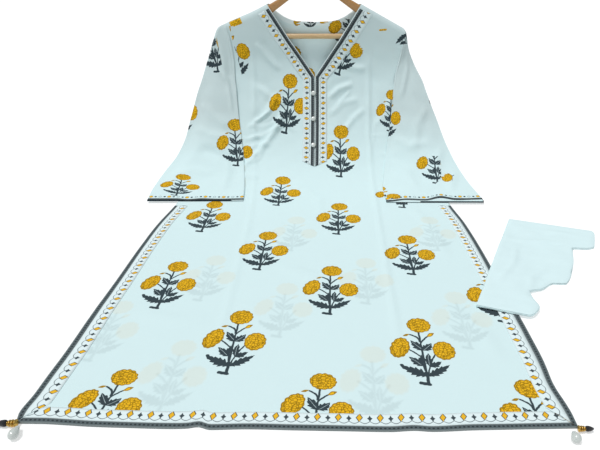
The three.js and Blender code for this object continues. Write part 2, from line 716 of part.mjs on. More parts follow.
add('back', panelWall(backRows(), backLift, true), cotton);
add('front', panelWall(frontRows(), frontLift, false), cotton);
add('hem_band', hemStrip(TAPE + SEAM_GAP, TAPE + BAND), borderCotton);
add('hem_tape', hemStrip(0, TAPE), charcoal);
for (const [label, sign] of [['left', -1], ['right', 1]]) {
  add(`sleeve_${label}`, sleeveWall(sign), cotton);
  add(`cuff_tape_${label}`, cuffTapeWall(sign), charcoal);
  add(`slit_band_${label}`, slitStrip(sign, TAPE + SEAM_GAP, TAPE + BAND), borderCotton);
  add(`slit_tape_${label}`, slitStrip(sign, 0, TAPE), charcoal);
  add(`neck_border_${label}`, neckStrip(sign, 0, NECK_BORDER, LAYER), borderCotton);
  const tapeEnd = NECK_TAPE_INSET + NECK_TAPE;
  add(`neck_tape_${label}`, neckStrip(sign, NECK_TAPE_INSET, tapeEnd, 2 * LAYER), charcoal);
  const { beadsMesh, tipMesh, dropMesh } = tasselMeshes(sign);
  add(`tassel_beads_${label}`, beadsMesh);
  add(`tassel_tip_${label}`, tipMesh);
  add(`tassel_drop_${label}`, dropMesh);
}
BUTTON.alongs.forEach((along, i) => add(`button_${i + 1}`, buttonMesh(along)));
add('hanger_arms', hangerArms());
add('hanger_dowel', dowel());
add('hanger_hook', hook());
add('bottoms_folded', bundleSlab(0, BUNDLE_LENGTH, 0, BUNDLE_HEIGHT, 0), cotton);
const { from, to, height, inset } = TOP_FOLD;
const topFold = bundleSlab(from, to, BUNDLE_HEIGHT + FOLD_GAP, BUNDLE_HEIGHT + height, inset);
add('bottoms_top_fold', topFold, cotton);

export default group;
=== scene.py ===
# %% [markdown]
# # A kurti sharara set on a wooden hanger
# The set is a block-printed cotton kurti and its folded sharara bottoms. The kurti's shoulders hang
# on a wooden hanger, its chest eases forward in one smooth drape and its skirt lies flat towards the
# viewer. The folded bottoms lie on the skirt's right edge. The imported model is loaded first: it fixes
# where everything is, and every piece made here is laid on the same drape.

# %% Load the frame
import math
import bpy
import numpy as np
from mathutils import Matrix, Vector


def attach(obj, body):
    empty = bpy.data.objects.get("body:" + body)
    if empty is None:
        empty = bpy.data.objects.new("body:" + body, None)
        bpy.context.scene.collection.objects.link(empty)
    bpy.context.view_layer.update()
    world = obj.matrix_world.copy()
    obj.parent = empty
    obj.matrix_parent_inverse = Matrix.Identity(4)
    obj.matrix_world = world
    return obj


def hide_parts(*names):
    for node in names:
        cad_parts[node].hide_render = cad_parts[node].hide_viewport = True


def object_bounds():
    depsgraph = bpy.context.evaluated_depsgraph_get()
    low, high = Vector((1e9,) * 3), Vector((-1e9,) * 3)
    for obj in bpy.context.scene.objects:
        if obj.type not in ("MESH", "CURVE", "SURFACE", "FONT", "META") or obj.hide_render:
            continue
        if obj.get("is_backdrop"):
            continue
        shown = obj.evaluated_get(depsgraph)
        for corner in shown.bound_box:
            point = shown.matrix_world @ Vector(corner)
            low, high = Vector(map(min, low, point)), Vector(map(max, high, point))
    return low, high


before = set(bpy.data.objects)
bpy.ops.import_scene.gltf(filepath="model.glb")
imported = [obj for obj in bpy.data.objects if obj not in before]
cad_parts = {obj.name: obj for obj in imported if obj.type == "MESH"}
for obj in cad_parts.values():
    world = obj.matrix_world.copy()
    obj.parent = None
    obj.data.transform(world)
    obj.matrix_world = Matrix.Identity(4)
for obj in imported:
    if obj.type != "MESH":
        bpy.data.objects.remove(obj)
cad_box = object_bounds()
MM = 0.001
print("packed nodes:", len(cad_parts), "box:", [tuple(round(c, 3) for c in p) for p in cad_box])


# %% Two helpers
def add(name, data):
    """A new object in the scene."""
    made = bpy.data.objects.new(name, data)
    bpy.context.collection.objects.link(made)
    return made


def set_inputs(node, values):
    for name, value in values.items():
        node.inputs[name].default_value = value


# %% [markdown]
# ## Camera, floor and light
# The camera looks down at the laid skirt from in front. A wide white floor fills the view; it glows a
# little, like a light table, so that shadows on it stay faint. A broad high sun lights what lies flat
# and leaves the hanging chest in softer light from the sky, which is how the cloth's slopes read.

# %% Camera
CAMERA_AT = (0.036, -1.178, 0.0011)
CAMERA_DOWN = math.radians(27.9)
camera = add("camera", bpy.data.cameras.new("camera"))
camera.location = CAMERA_AT
camera.rotation_euler = (math.radians(90) - CAMERA_DOWN, 0, 0)
camera.data.lens = 32.7
camera.data.sensor_width = 36
camera.data.shift_x = -0.0533
camera.data.clip_start = 0.05
camera.data.clip_end = 60
bpy.context.scene.camera = camera
print("camera looks down", round(math.degrees(CAMERA_DOWN), 1), "degrees")

# %% Floor and light
FLOOR_HEIGHT = -0.4491
bpy.context.scene.view_settings.view_transform = "Standard"
bpy.ops.mesh.primitive_plane_add(size=40, location=(0, 0, FLOOR_HEIGHT))
floor = bpy.context.object
floor.name = "floor"
floor_paint = bpy.data.materials.new("floor paint")
floor_paint.use_nodes = True
set_inputs(floor_paint.node_tree.nodes["Principled BSDF"], {
    "Base Color": (0.6, 0.6, 0.6, 1), "Roughness": 0.9, "Specular IOR Level": 0.0,
    "Emission Color": (1, 1, 1, 1), "Emission Strength": 0.46})
floor.data.materials.append(floor_paint)
floor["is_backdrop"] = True
world = bpy.data.worlds.new("studio")
world.use_nodes = True
set_inputs(world.node_tree.nodes["Background"], {"Color": (0.94, 0.98, 1.0, 1), "Strength": 0.38})
bpy.context.scene.world = world
sun = add("high sun", bpy.data.lights.new("high sun", "SUN"))
sun.data.energy = 2.26
sun.data.angle = math.radians(18)
sun.rotation_euler = (math.radians(7), math.radians(-15), 0)
print("floor at", FLOOR_HEIGHT)

# %% [markdown]
# ## The drape
# Cloth keeps its length, so every point of the kurti is named by where it was before it was hung:
# how far across from the centre line, how far along from the hem, and how far lifted off the back of
# the garment, all in millimetres. One table says how steeply the cloth stands at each height, and
# walking along it gives the curve from the flat skirt up to the hanging shoulders.

# %% Walk the drape
DRAPE_ALONG = [510, 570, 630, 680, 740, 840, 930]
DRAPE_SLOPE = [0, 7.5, 22, 41, 52, 62, 90]
HOOK_TOP_ALONG = 1120.1
HANGER_LIFT = 8.5
walk = np.arange(-60.0, 1201.0)
walk_slope = np.radians(np.interp(walk + 0.5, DRAPE_ALONG, DRAPE_SLOPE))
walk_y = np.concatenate([[0], np.cumsum(np.cos(walk_slope))[:-1]])
walk_z = np.concatenate([[0], np.cumsum(np.sin(walk_slope))[:-1]])
origin_y = np.interp(HOOK_TOP_ALONG, walk, walk_y) - HANGER_LIFT
origin_z = np.interp(HOOK_TOP_ALONG, walk, walk_z)


HEM_HALF = 291
SHOULDER_PUFF, PUFF_ACROSS = 9.0, -188    # how high the left shoulder puffs, and where it is highest


def settle(across, along):
    """How far the corners of the hem slid sideways and the left shoulder puffs up, in millimetres."""
    right = -6.0 * np.exp(-(((along - 58) / 34) ** 2))
    left = -4.2 * np.exp(-(((along - 20) / 17) ** 2))
    slid = np.where(across > 0, right, left) * np.clip(np.abs(across) / HEM_HALF, 0, 1) ** 4
    reach = PUFF_ACROSS - across
    puff = SHOULDER_PUFF * np.exp(-((reach / np.where(reach > 0, 28, 50)) ** 2))
    return slid, puff * np.clip((along - 860) / 85, 0, 1) ** 2


def place(across, along, lift):
    """Points of the garment in metres, from arrays in millimetres."""
    slid, puff = settle(np.asarray(across, float), np.asarray(along, float))
    across = across + slid
    slope = np.radians(np.interp(along, DRAPE_ALONG, DRAPE_SLOPE))
    y = np.interp(along, walk, walk_y) - lift * np.sin(slope) - origin_y
    z = np.interp(along, walk, walk_z) + lift * np.cos(slope) - origin_z + puff
    return np.stack(np.broadcast_arrays(across, y, z), axis=-1) * MM


hem_middle = place(0.0, 0.0, 0.0)
print("hem at y", round(float(hem_middle[1]), 4), "underside at z", round(float(hem_middle[2]), 4))

# %% [markdown]
# ## Sheets of cloth
# A sheet is a grid of points on its drape. The grid becomes one mesh whose vertices remember their
# place on the flat cloth, because a print belongs to the flat cloth and follows it over every crease.
# A Solidify modifier then gives the sheet its two faces and its edge.

# %% Smooth tables
def smooth(x, table_x, table_y):
    """A curve through a table's points that never overshoots them."""
    xs, ys = np.array(table_x, float), np.array(table_y, float)
    gap, rise = np.diff(xs), np.diff(ys)
    steep = rise / gap
    tangent = np.zeros(len(xs))
    both = steep[1:] * steep[:-1]
    tangent[1:-1] = np.where(both > 0, 2 * both / np.where(both > 0, steep[1:] + steep[:-1], 1), 0)
    tangent[0], tangent[-1] = steep[0], steep[-1]
    x = np.clip(x, xs[0], xs[-1])
    i = np.clip(np.searchsorted(xs, x, side="right") - 1, 0, len(gap) - 1)
    t = (x - xs[i]) / gap[i]
    stay, go = ys[i] * (1 + 2 * t), ys[i + 1] * (3 - 2 * t)
    turn = tangent[i] * t * (1 - t) ** 2 - tangent[i + 1] * t * t * (1 - t)
    return stay * (1 - t) ** 2 + go * t * t + gap[i] * turn


def ease(x, start, end):
    t = np.clip((x - start) / (end - start), 0, 1)
    return t * t * (3 - 2 * t)


# %% Grids to meshes
def keep_on(mesh, name, domain, vectors):
    """Keeps one vector for each point or face corner, as an attribute."""
    made = mesh.attributes.new(name, "FLOAT_VECTOR", domain)
    made.data.foreach_set("vector", vectors.astype(np.float32).ravel())


def flat_of(sheet):
    """Where each point lies on the flat cloth, in centimetres."""
    kept = sheet.data.attributes["flat"].data
    flat = np.zeros(len(kept) * 3, np.float32)
    kept.foreach_get("vector", flat)
    return flat.reshape(-1, 3)


def cloth_mesh(name, grids, thickness):
    """grids: (points, flat, turned). The first two are arrays of rows x columns x 3; flat is kept."""
    points, flats, quads, count = [], [], [], 0
    for at, flat, turned in grids:
        rows, columns = at.shape[:2]
        ids = count + np.arange(rows * columns).reshape(rows, columns)
        quad = np.stack([ids[:-1, :-1], ids[:-1, 1:], ids[1:, 1:], ids[1:, :-1]], axis=-1).reshape(-1, 4)
        quads.append(quad[:, ::-1] if turned else quad)
        points.append(at.reshape(-1, 3))
        flats.append(flat.reshape(-1, 3))
        count += rows * columns
    points, flats, quads = np.concatenate(points), np.concatenate(flats), np.concatenate(quads)
    keys = np.round(points * 1e6).astype(np.int64)
    _, first, same = np.unique(keys, axis=0, return_index=True, return_inverse=True)
    quads, points = same.reshape(-1)[quads], points[first]
    mesh = bpy.data.meshes.new(name)
    mesh.from_pydata(points.tolist(), [], quads.tolist())
    keep_on(mesh, "flat", "POINT", flats[first])
    mesh.shade_smooth()
    sheet = add(name, mesh)
    shell = sheet.modifiers.new("thickness", "SOLIDIFY")
    shell.thickness = thickness * MM
    shell.offset = -1
    print(name, "faces:", len(quads))
    return sheet


# %% Where the printed sprigs go
SPRIG_MIDDLE = (0.0, 4.75)  # centimetres in the sprig's own frame, its stem near x = 0, its foot below 0
NOWHERE = 99.0
WHOLE = (-9, 9, -9, 20)


def sprig(spot, lean=5.0, by=SPRIG_MIDDLE, wide=1.0, tall=1.0, keep=WHOLE):
    """One print: its point by lies at spot on the flat cloth. keep is the part that took the ink."""
    turn = math.radians(lean)
    x, y = (by[0] - SPRIG_MIDDLE[0]) * wide, (by[1] - SPRIG_MIDDLE[1]) * tall
    cos, sin = math.cos(turn), math.sin(turn)
    middle = (spot[0] - x * cos - y * sin, spot[1] + x * sin - y * cos)
    return (*middle, turn, wide, tall, *keep)


def print_sprigs(sheet, name, sprigs):
    """Gives each face corner its place in the nearest sprig's own frame; z is how far inside keep it is."""
    mesh = sheet.data
    flat = flat_of(sheet)[:, :2]
    corners = np.zeros(len(mesh.loops), np.int32)
    mesh.loops.foreach_get("vertex_index", corners)
    corners = corners.reshape(-1, 4)
    centre = flat[corners].mean(axis=1)
    table = np.array(sprigs)
    gap = np.linalg.norm((centre[:, None, :] - table[None, :, :2]) / table[None, :, 3:5], axis=2)
    near = table[gap.argmin(axis=1)][:, None, :]
    away = flat[corners] - near[..., :2]
    cos, sin = np.cos(near[..., 2]), np.sin(near[..., 2])
    x = (away[..., 0] * cos - away[..., 1] * sin) / near[..., 3] + SPRIG_MIDDLE[0]
    y = (away[..., 0] * sin + away[..., 1] * cos) / near[..., 4] + SPRIG_MIDDLE[1]
    sides = [x - near[..., 5], near[..., 6] - x, y - near[..., 7], near[..., 8] - y]
    inside = np.minimum.reduce(sides)
    missing = gap.min(axis=1) > 9
    x[missing], y[missing], inside[missing] = NOWHERE, NOWHERE, -1
    keep_on(mesh, name, "CORNER", np.stack([x, y, inside], axis=-1))
    print(sheet.name, name, "sprigs:", len(table))


# %% [markdown]
# ## Printing with sums
# A block print is flat shapes with soft edges. Each shape here is a sum that is above zero inside it
# and below zero outside, worked out in centimetres in the shape's own frame. To keep the sums short,
# a small class lets a node's socket be added, multiplied and compared like a number.

# %% A socket that does arithmetic
class Ink:
    def __init__(self, tree, socket):
        self.tree, self.socket = tree, socket

    def math(self, kind, *others, clamp=False):
        node = self.tree.nodes.new("ShaderNodeMath")
        node.operation, node.use_clamp = kind, clamp
        for slot, value in zip(node.inputs, (self,) + others):
            if isinstance(value, Ink):
                self.tree.links.new(value.socket, slot)
            else:
                slot.default_value = value
        return Ink(self.tree, node.outputs[0])

    def __add__(self, other):
        return self.math("ADD", other)

    def __sub__(self, other):
        return self.math("SUBTRACT", other)

    def __mul__(self, other):
        return self.math("MULTIPLY", other)

    def from_(self, number):
        return self.math("MULTIPLY_ADD", -1.0, number)

    def size(self):
        return self.math("ABSOLUTE")

    def most(self, other):
        return self.math("MAXIMUM", other)

    def least(self, other):
        return self.math("MINIMUM", other)

    def edge(self, blur):
        """1 inside, 0 outside, over a soft edge."""
        return self.math("MULTIPLY_ADD", 1 / blur, 0.5, clamp=True)


def coordinates(tree, vector):
    """The three numbers of a vector, each ready for sums."""
    split = tree.nodes.new("ShaderNodeSeparateXYZ")
    tree.links.new(vector, split.inputs[0])
    return [Ink(tree, output) for output in split.outputs]


def placed(tree, vector, at, turn=0.0, size=(1.0, 1.0)):
    """A vector seen from a frame at a point, turned and scaled: its two coordinates there."""
    node = tree.nodes.new("ShaderNodeMapping")
    node.vector_type = "TEXTURE"
    set_inputs(node, {"Location": (*at, 0), "Rotation": (0, 0, turn), "Scale": (*size, 1)})
    tree.links.new(vector, node.inputs["Vector"])
    return coordinates(tree, node.outputs[0])[:2]


def new_group(name, inputs, outputs):
    tree = bpy.data.node_groups.new(name, "ShaderNodeTree")
    for title, kind, value in inputs:
        socket = tree.interface.new_socket(name=title, in_out="INPUT", socket_type=kind)
        if value is not None:
            socket.default_value = value
    for title, kind in outputs:
        tree.interface.new_socket(name=title, in_out="OUTPUT", socket_type=kind)
    return tree, tree.nodes.new("NodeGroupInput"), tree.nodes.new("NodeGroupOutput")


# %% Shapes of the print
def leaf(tree, vector, base, tip, width, bow, teeth, vein=0.0):
    """A leaf from base to tip: fullest near its base, bowed sideways, its edges cut in teeth."""
    length = math.dist(base, tip)
    turn = math.atan2(tip[1] - base[1], tip[0] - base[0])
    t, across = placed(tree, vector, base, turn, (length, width))
    arch = t * t.from_(1.0) * 4.0
    full = arch * t.math("MULTIPLY_ADD", -0.7, 1.35).most(0.3)
    tooth = (t * teeth + 10.0).math("FRACT")
    off = (across - arch * (bow / width)).size()
    body = (full * tooth.math("MULTIPLY_ADD", 0.5, 0.72) - off) * width
    if vein:
        groove = (off * width - vein).most((t - 0.5).size() - 0.36)
        body = body.least(groove)
    return body


def stem(tree, vector, start, end, width):
    """A straight stem with round ends."""
    length = math.dist(start, end)
    turn = math.atan2(end[1] - start[1], end[0] - start[0])
    x, y = placed(tree, vector, start, turn)
    past = x - x.most(0.0).least(length)
    return (past * past + y * y).math("SQRT").from_(width / 2)


def stalk(tree, vector, centre, radii, width):
    """A quarter of an ellipse: from below on its left side, up and over to its top.
    A negative radius mirrors it."""
    u, v = placed(tree, vector, centre, 0, radii)
    ring = (u * u + v * v).math("SQRT") - 1.0
    arc = ring.size() * (-(abs(radii[0]) + radii[1]) / 2) + width / 2
    return arc.least(u * -abs(radii[0])).least(v * radii[1])


def bloom(tree, vector, at, turn, radii, lobes):
    """A round flower head with a lobed edge."""
    u, v = placed(tree, vector, at, turn, radii)
    spread = (v.math("ARCTAN2", u) * (lobes / 2)).math("SINE").size()
    return (spread * 0.07 - (u * u + v * v).math("SQRT") + 0.97) * min(radii)


# %% [markdown]
# ## The sprig
# The block prints a marigold sprig: a round bloom on top, two taller side blooms on bent stalks, two
# buds, small leaves up the stem and two long serrated leaves above its foot. Leaves, stems and foot are
# one charcoal ink, cut through by fine veins. The blooms are mustard, netted with brown petal lines.
# A little warp makes every edge look cut in wood by hand.

# %% The sprig group
MUSTARD = (0.82, 0.455, 0.0, 1)
PETAL_LINE = (0.17, 0.095, 0.004, 1)
CHARCOAL = (0.020, 0.035, 0.045, 1)
TOP_BLOOM, LEFT_BLOOM, RIGHT_BLOOM = (-0.15, 9.68), (-2.67, 5.1), (2.70, 5.0)
FOOT = (0.5, -0.7)
WARP = 0.26                 # edges wander within this width, in centimetres


def sprig_ink(tree, p):
    pieces = [
        stem(tree, p, (0.43, -0.2), (0.03, 4.8), 0.27),
        stem(tree, p, (0.03, 4.8), (-0.25, 8.3), 0.26),
        stem(tree, p, (0.40, 0.9), (0.50, -0.75), 0.40),
        stem(tree, p, (-0.38, -0.74), (0.62, -0.90), 0.48),
        leaf(tree, p, (0.55, 0.45), (-2.6, 1.85), 0.64, 0.08, 5.5),
        stem(tree, p, (-2.5, 2.0), (-2.25, 1.5), 0.42),
        leaf(tree, p, (0.45, 0.35), (3.2, 2.5), 0.52, -0.08, 5.5),
        leaf(tree, p, (-0.02, 2.05), (-1.62, 3.5), 0.52, -0.05, 4.0, 0.015),
        leaf(tree, p, (-0.05, 2.3), (-0.12, 4.05), 0.34, 0.05, 3.0),
        leaf(tree, p, (0.85, 2.0), (0.72, 4.35), 0.42, 0.07, 3.5, 0.015),
        leaf(tree, p, (0.80, 2.0), (2.28, 3.0), 0.42, -0.06, 3.5),
        stem(tree, p, (0.21, 1.28), (-0.22, 3.73), 0.22),
        stem(tree, p, (-0.22, 3.73), (-1.75, 5.0), 0.22),
        stem(tree, p, (0.5, 0.7), (1.20, 3.35), 0.2),
        stem(tree, p, (1.20, 3.35), (1.8, 4.65), 0.22),
        leaf(tree, p, (0.16, 4.75), (-1.34, 6.55), 0.58, 0.0, 4.0, 0.015),
        leaf(tree, p, (0.10, 4.75), (1.22, 6.25), 0.54, -0.12, 4.0, 0.015),
        stalk(tree, p, (-1.45, 6.3), (-1.25, 1.38), 0.24),
        stem(tree, p, (-0.05, 6.2), (0.5, 7.1), 0.24),
        stem(tree, p, (0.5, 7.1), (0.98, 7.62), 0.22),
    ]
    ink = pieces[0]
    for piece in pieces[1:]:
        ink = ink.most(piece)
    return ink


def sprig_heads(tree, p):
    head = bloom(tree, p, TOP_BLOOM, -0.1, (1.54, 1.46), 13)
    head = head.most(bloom(tree, p, LEFT_BLOOM, -0.25, (1.14, 1.86), 12))
    head = head.most(bloom(tree, p, RIGHT_BLOOM, 0.12, (1.34, 1.64), 12))
    head = head.most(leaf(tree, p, (0.78, 7.4), (1.66, 8.25), 0.3, 0.0, 1.0))
    return head.most(leaf(tree, p, (-1.45, 7.78), (-2.28, 7.36), 0.2, 0.0, 1.0))


def build_sprig():
    tree, start, end = new_group(
        "marigold sprig",
        [("Place", "NodeSocketVector", None), ("Blur", "NodeSocketFloat", 0.05)],
        [("Leaf", "NodeSocketFloat"), ("Bloom", "NodeSocketFloat"), ("Petals", "NodeSocketFloat")],
    )
    x, y, inside = coordinates(tree, start.outputs["Place"])
    flat = tree.nodes.new("ShaderNodeCombineXYZ")
    tree.links.new(x.socket, flat.inputs[0])
    tree.links.new(y.socket, flat.inputs[1])
    wobble = tree.nodes.new("ShaderNodeTexNoise")
    set_inputs(wobble, {"Scale": 1.6, "Detail": 3.0})
    tree.links.new(flat.outputs[0], wobble.inputs["Vector"])
    centred = tree.nodes.new("ShaderNodeVectorMath")
    centred.operation = "MULTIPLY_ADD"
    centred.inputs[1].default_value = (WARP, WARP, 0)
    centred.inputs[2].default_value = (-WARP / 2, -WARP / 2, 0)
    tree.links.new(wobble.outputs["Color"], centred.inputs[0])
    warped = tree.nodes.new("ShaderNodeVectorMath")
    tree.links.new(flat.outputs[0], warped.inputs[0])
    tree.links.new(centred.outputs[0], warped.inputs[1])
    p = warped.outputs[0]
    heads = sprig_heads(tree, p)
    cells = tree.nodes.new("ShaderNodeTexVoronoi")
    cells.feature = "DISTANCE_TO_EDGE"
    set_inputs(cells, {"Scale": 2.6, "Randomness": 0.9})
    tree.links.new(p, cells.inputs["Vector"])
    line = Ink(tree, cells.outputs["Distance"]).from_(0.085).edge(0.10)
    rim = heads.from_(0.12).edge(0.10)
    tree.links.new(line.most(rim).socket, end.inputs["Petals"])
    blur = Ink(tree, start.outputs["Blur"])
    for name, shape in (("Leaf", sprig_ink(tree, p)), ("Bloom", heads)):
        soft = shape.least(inside).math("DIVIDE", blur).math("ADD", 0.5, clamp=True)
        tree.links.new(soft.socket, end.inputs[name])
    return tree


sprig_group = build_sprig()
print("sprig group nodes:", len(sprig_group.nodes))

# %% [markdown]
# ## The borders
# Hem, slits and neck carry a second block: mustard buds and small charcoal crosses, turn about, along
# a fine looped vine. The tape outside it is charcoal with lighter edges and a row of black dashes.
# Both run on two coordinates: how far along the strip, and how far in from its outer edge.

# %% The vine group
REPEAT = 2.2                # centimetres from one bud to the next


def build_vine():
    tree, start, end = new_group(
        "vine border",
        [("Strip", "NodeSocketVector", None), ("Bud height", "NodeSocketFloat", 0.95),
         ("Cross", "NodeSocketFloat", 0.24), ("Vine", "NodeSocketFloat", 1.0)],
        [("Bud", "NodeSocketFloat"), ("Dark", "NodeSocketFloat"), ("Line", "NodeSocketFloat")],
    )
    along, up, _ = coordinates(tree, start.outputs["Strip"])
    height = Ink(tree, start.outputs["Bud height"])
    along = along + 100 * REPEAT
    u = (along * (1 / REPEAT)).math("FRACT").math("MULTIPLY_ADD", REPEAT, -REPEAT / 4)
    v = up - height
    lean = u - v * 0.1
    shape = (lean.size() * 1.5 + v.size()).from_(0.50) * 0.7
    outline = shape.size().from_(0.055).least(u.size() - 0.06)
    cross_u, cross_v = (u - REPEAT / 2).size(), (v + 0.1).size() * 0.72
    cross = (cross_u + cross_v + cross_u.least(cross_v) * 0.6).from_(0.0) + Ink(tree, start.outputs["Cross"])
    loop = (along * (math.pi / (REPEAT / 2)) + math.pi / 2).math("SINE").size()
    vine = (up - height + 0.46 + loop * 0.26).size().from_(0.05)
    line = vine.edge(0.05) * Ink(tree, start.outputs["Vine"])
    dark = cross.edge(0.06).most(outline.edge(0.05))
    for name, value in (("Bud", shape.edge(0.05)), ("Dark", dark), ("Line", line)):
        tree.links.new(value.socket, end.inputs[name])
    return tree


vine_group = build_vine()
print("vine group nodes:", len(vine_group.nodes))


# %% The tape group
def build_tape():
    tree, start, end = new_group(
        "dashed tape",
        [("Strip", "NodeSocketVector", None), ("Width", "NodeSocketFloat", 0.9)],
        [("Dash", "NodeSocketFloat"), ("Edge", "NodeSocketFloat")],
    )
    along, up, _ = coordinates(tree, start.outputs["Strip"])
    width = Ink(tree, start.outputs["Width"])
    u = ((along + 200.0) * 2.2).math("FRACT") - 0.5
    v = up.math("DIVIDE", width) - 0.5
    dash = (u * u * 7.0 + v * v * 22.0).from_(0.62)
    tree.links.new(dash.edge(0.5).socket, end.inputs["Dash"])
    tree.links.new((v.size() - 0.36).edge(0.1).socket, end.inputs["Edge"])
    return tree


tape_group = build_tape()
print("tape group nodes:", len(tape_group.nodes))

# %% [markdown]
# ## Cotton
# The cloth is a fine plain-weave cotton. Close up it shows its threads going over and under, and from
# further off only faint streaks where a thread is a little thicker. One group gives both: a thread
# height for the bump and a streak value that varies the whiteness. It runs on the flat cloth's own
# coordinates, so the threads turn with every fold.

# %% The weave group
def build_weave():
    tree, start, end = new_group(
        "plain weave",
        [("Flat", "NodeSocketVector", None), ("Threads", "NodeSocketFloat", 22.0)],
        [("Height", "NodeSocketFloat"), ("Streak", "NodeSocketFloat")],
    )
    across, along, _ = coordinates(tree, start.outputs["Flat"])
    count = Ink(tree, start.outputs["Threads"]) * math.pi
    warp = (across * count).math("SINE")
    weft = (along * count).math("SINE")
    height = (warp * weft).size().math("SQRT")
    streaks = []
    for stretch in ((14.0, 0.5, 1.0), (0.5, 14.0, 1.0)):
        shaped = tree.nodes.new("ShaderNodeMapping")
        shaped.inputs["Scale"].default_value = stretch
        noise = tree.nodes.new("ShaderNodeTexNoise")
        set_inputs(noise, {"Scale": 1.0, "Detail": 2.0})
        tree.links.new(start.outputs["Flat"], shaped.inputs["Vector"])
        tree.links.new(shaped.outputs[0], noise.inputs["Vector"])
        streaks.append(Ink(tree, noise.outputs["Fac"]))
    tree.links.new(height.socket, end.inputs["Height"])
    tree.links.new(((streaks[0] + streaks[1]) * 0.5).socket, end.inputs["Streak"])
    return tree


weave_group = build_weave()
print("weave group nodes:", len(weave_group.nodes))


# %% Material helpers
class Finish:
    """A material being mixed: a base colour that inks are laid on, one after another."""

    def __init__(self, name, color, roughness, sheen=0.0):
        self.material = bpy.data.materials.new(name)
        self.material.use_nodes = True
        self.tree = self.material.node_tree
        self.shader = self.tree.nodes["Principled BSDF"]
        self.set(Roughness=roughness, Sheen_Weight=sheen, Specular_IOR_Level=0.08)
        self.color = color

    def set(self, **values):
        """Settings of the shader, their names written with underscores."""
        set_inputs(self.shader, {name.replace("_", " "): value for name, value in values.items()})

    def attribute(self, name):
        node = self.tree.nodes.new("ShaderNodeAttribute")
        node.attribute_name = name
        return node.outputs["Vector"]

    def group(self, tree, **values):
        node = self.tree.nodes.new("ShaderNodeGroup")
        node.node_tree = tree
        for name, value in values.items():
            slot = node.inputs[name.replace("_", " ")]
            if isinstance(value, (int, float)):
                slot.default_value = value
            else:
                self.tree.links.new(value, slot)
        return node.outputs

    def lay(self, color, mask, strength=1.0):
        """Lays an ink on what is there, where the mask is 1."""
        node = self.tree.nodes.new("ShaderNodeMix")
        node.data_type = "RGBA"
        factor = Ink(self.tree, mask) if strength == 1.0 else Ink(self.tree, mask) * strength
        self.tree.links.new(factor.socket, node.inputs["Factor"])
        for slot, value in ((node.inputs[6], self.color), (node.inputs[7], color)):
            if isinstance(value, tuple):
                slot.default_value = value
            else:
                self.tree.links.new(value, slot)
        self.color = node.outputs[2]

    def texture(self, kind, stretch=None, **settings):
        """A texture on the piece's own coordinates: its value, from 0 to 1."""
        vector = self.tree.nodes.new("ShaderNodeTexCoord").outputs["Object"]
        if stretch:
            stretched = self.tree.nodes.new("ShaderNodeMapping")
            stretched.inputs["Scale"].default_value = stretch
            self.tree.links.new(vector, stretched.inputs["Vector"])
            vector = stretched.outputs[0]
        node = self.tree.nodes.new("ShaderNodeTex" + kind)
        set_inputs(node, settings)
        self.tree.links.new(vector, node.inputs["Vector"])
        return node.outputs["Fac"]

    def bump(self, height, depth, strength):
        node = self.tree.nodes.new("ShaderNodeBump")
        set_inputs(node, {"Distance": depth, "Strength": strength})
        self.tree.links.new(height, node.inputs["Height"])
        self.tree.links.new(node.outputs[0], self.shader.inputs["Normal"])

    def done(self):
        if isinstance(self.color, tuple):
            self.set(Base_Color=self.color)
        else:
            self.tree.links.new(self.color, self.shader.inputs["Base Color"])
        return self.material


def woven(name, color, threads=22.0):
    """The start of every cotton: its colour, its flat coordinates and its weave."""
    finish = Finish(name, color, 0.88, 0.02)
    flat = finish.attribute("flat")
    return finish, flat, finish.group(weave_group, Flat=flat, Threads=threads)


# %% Printed cotton
COTTON = (0.671, 0.833, 0.849, 1)
COTTON_THIN = (0.571, 0.733, 0.757, 1)
# painted shade: this grey darkens the cotton high up, where the chest and sleeves hang steep
PAINTED_SHADE_GREY = (0.42, 0.43, 0.42, 1)
FACING_WHITE = (0.88, 0.95, 0.95, 1)
BACK_NECK_HALF, BACK_NECK_RISE, BACK_NECK_LOW = 8.6, 2.8, 96.5    # the back's neckline, in centimetres
FACING_DEPTH = 0.65         # the facing reaches this far below it
PAINTED_SHADE_FROM = (68.0, 86.0)    # where each of the two painted shades starts, in centimetres above the hem


def cotton(name, white=COTTON, painted_shade=(0.0, 0.0), ghosts=True, cuff=False, facing=False, printed=True):
    finish, flat, weave = woven(name, white)
    finish.lay(COTTON_THIN, weave["Streak"], 0.28)
    if painted_shade[0]:
        # painted shade: high up, where the cloth hangs steep, the cotton is laid a little greyer
        _, along, _ = coordinates(finish.tree, flat)
        for strength, start in zip(painted_shade, PAINTED_SHADE_FROM):
            high = along.math("MULTIPLY_ADD", 1 / 10, -start / 10, clamp=True)
            finish.lay(PAINTED_SHADE_GREY, high.socket, strength)
    if facing:
        # a narrow facing, two layers thick, follows the back's neckline
        across, along, _ = coordinates(finish.tree, flat)
        out = across * (1 / BACK_NECK_HALF)
        below = out * out * out * out * BACK_NECK_RISE + BACK_NECK_LOW - along
        finish.lay(FACING_WHITE, below.from_(FACING_DEPTH).edge(0.1).socket, 0.55)
    if ghosts:
        ghost = finish.group(sprig_group, Place=finish.attribute("ghost_at"), Blur=0.35)
        finish.lay(CHARCOAL, ghost["Leaf"], 0.13)
        finish.lay(MUSTARD, ghost["Bloom"], 0.11)
    if printed:
        marks = finish.group(sprig_group, Place=finish.attribute("sprig_at"), Blur=0.05)
        finish.lay(CHARCOAL, marks["Leaf"], 0.97)
        finish.lay(MUSTARD, marks["Bloom"], 0.98)
        both = Ink(finish.tree, marks["Petals"]) * Ink(finish.tree, marks["Bloom"])
        finish.lay(PETAL_LINE, both.socket, 0.8)
    if cuff:
        mark_cuff(finish, flat)
    finish.bump(weave["Height"], 0.00012, 0.35)
    return finish.done()


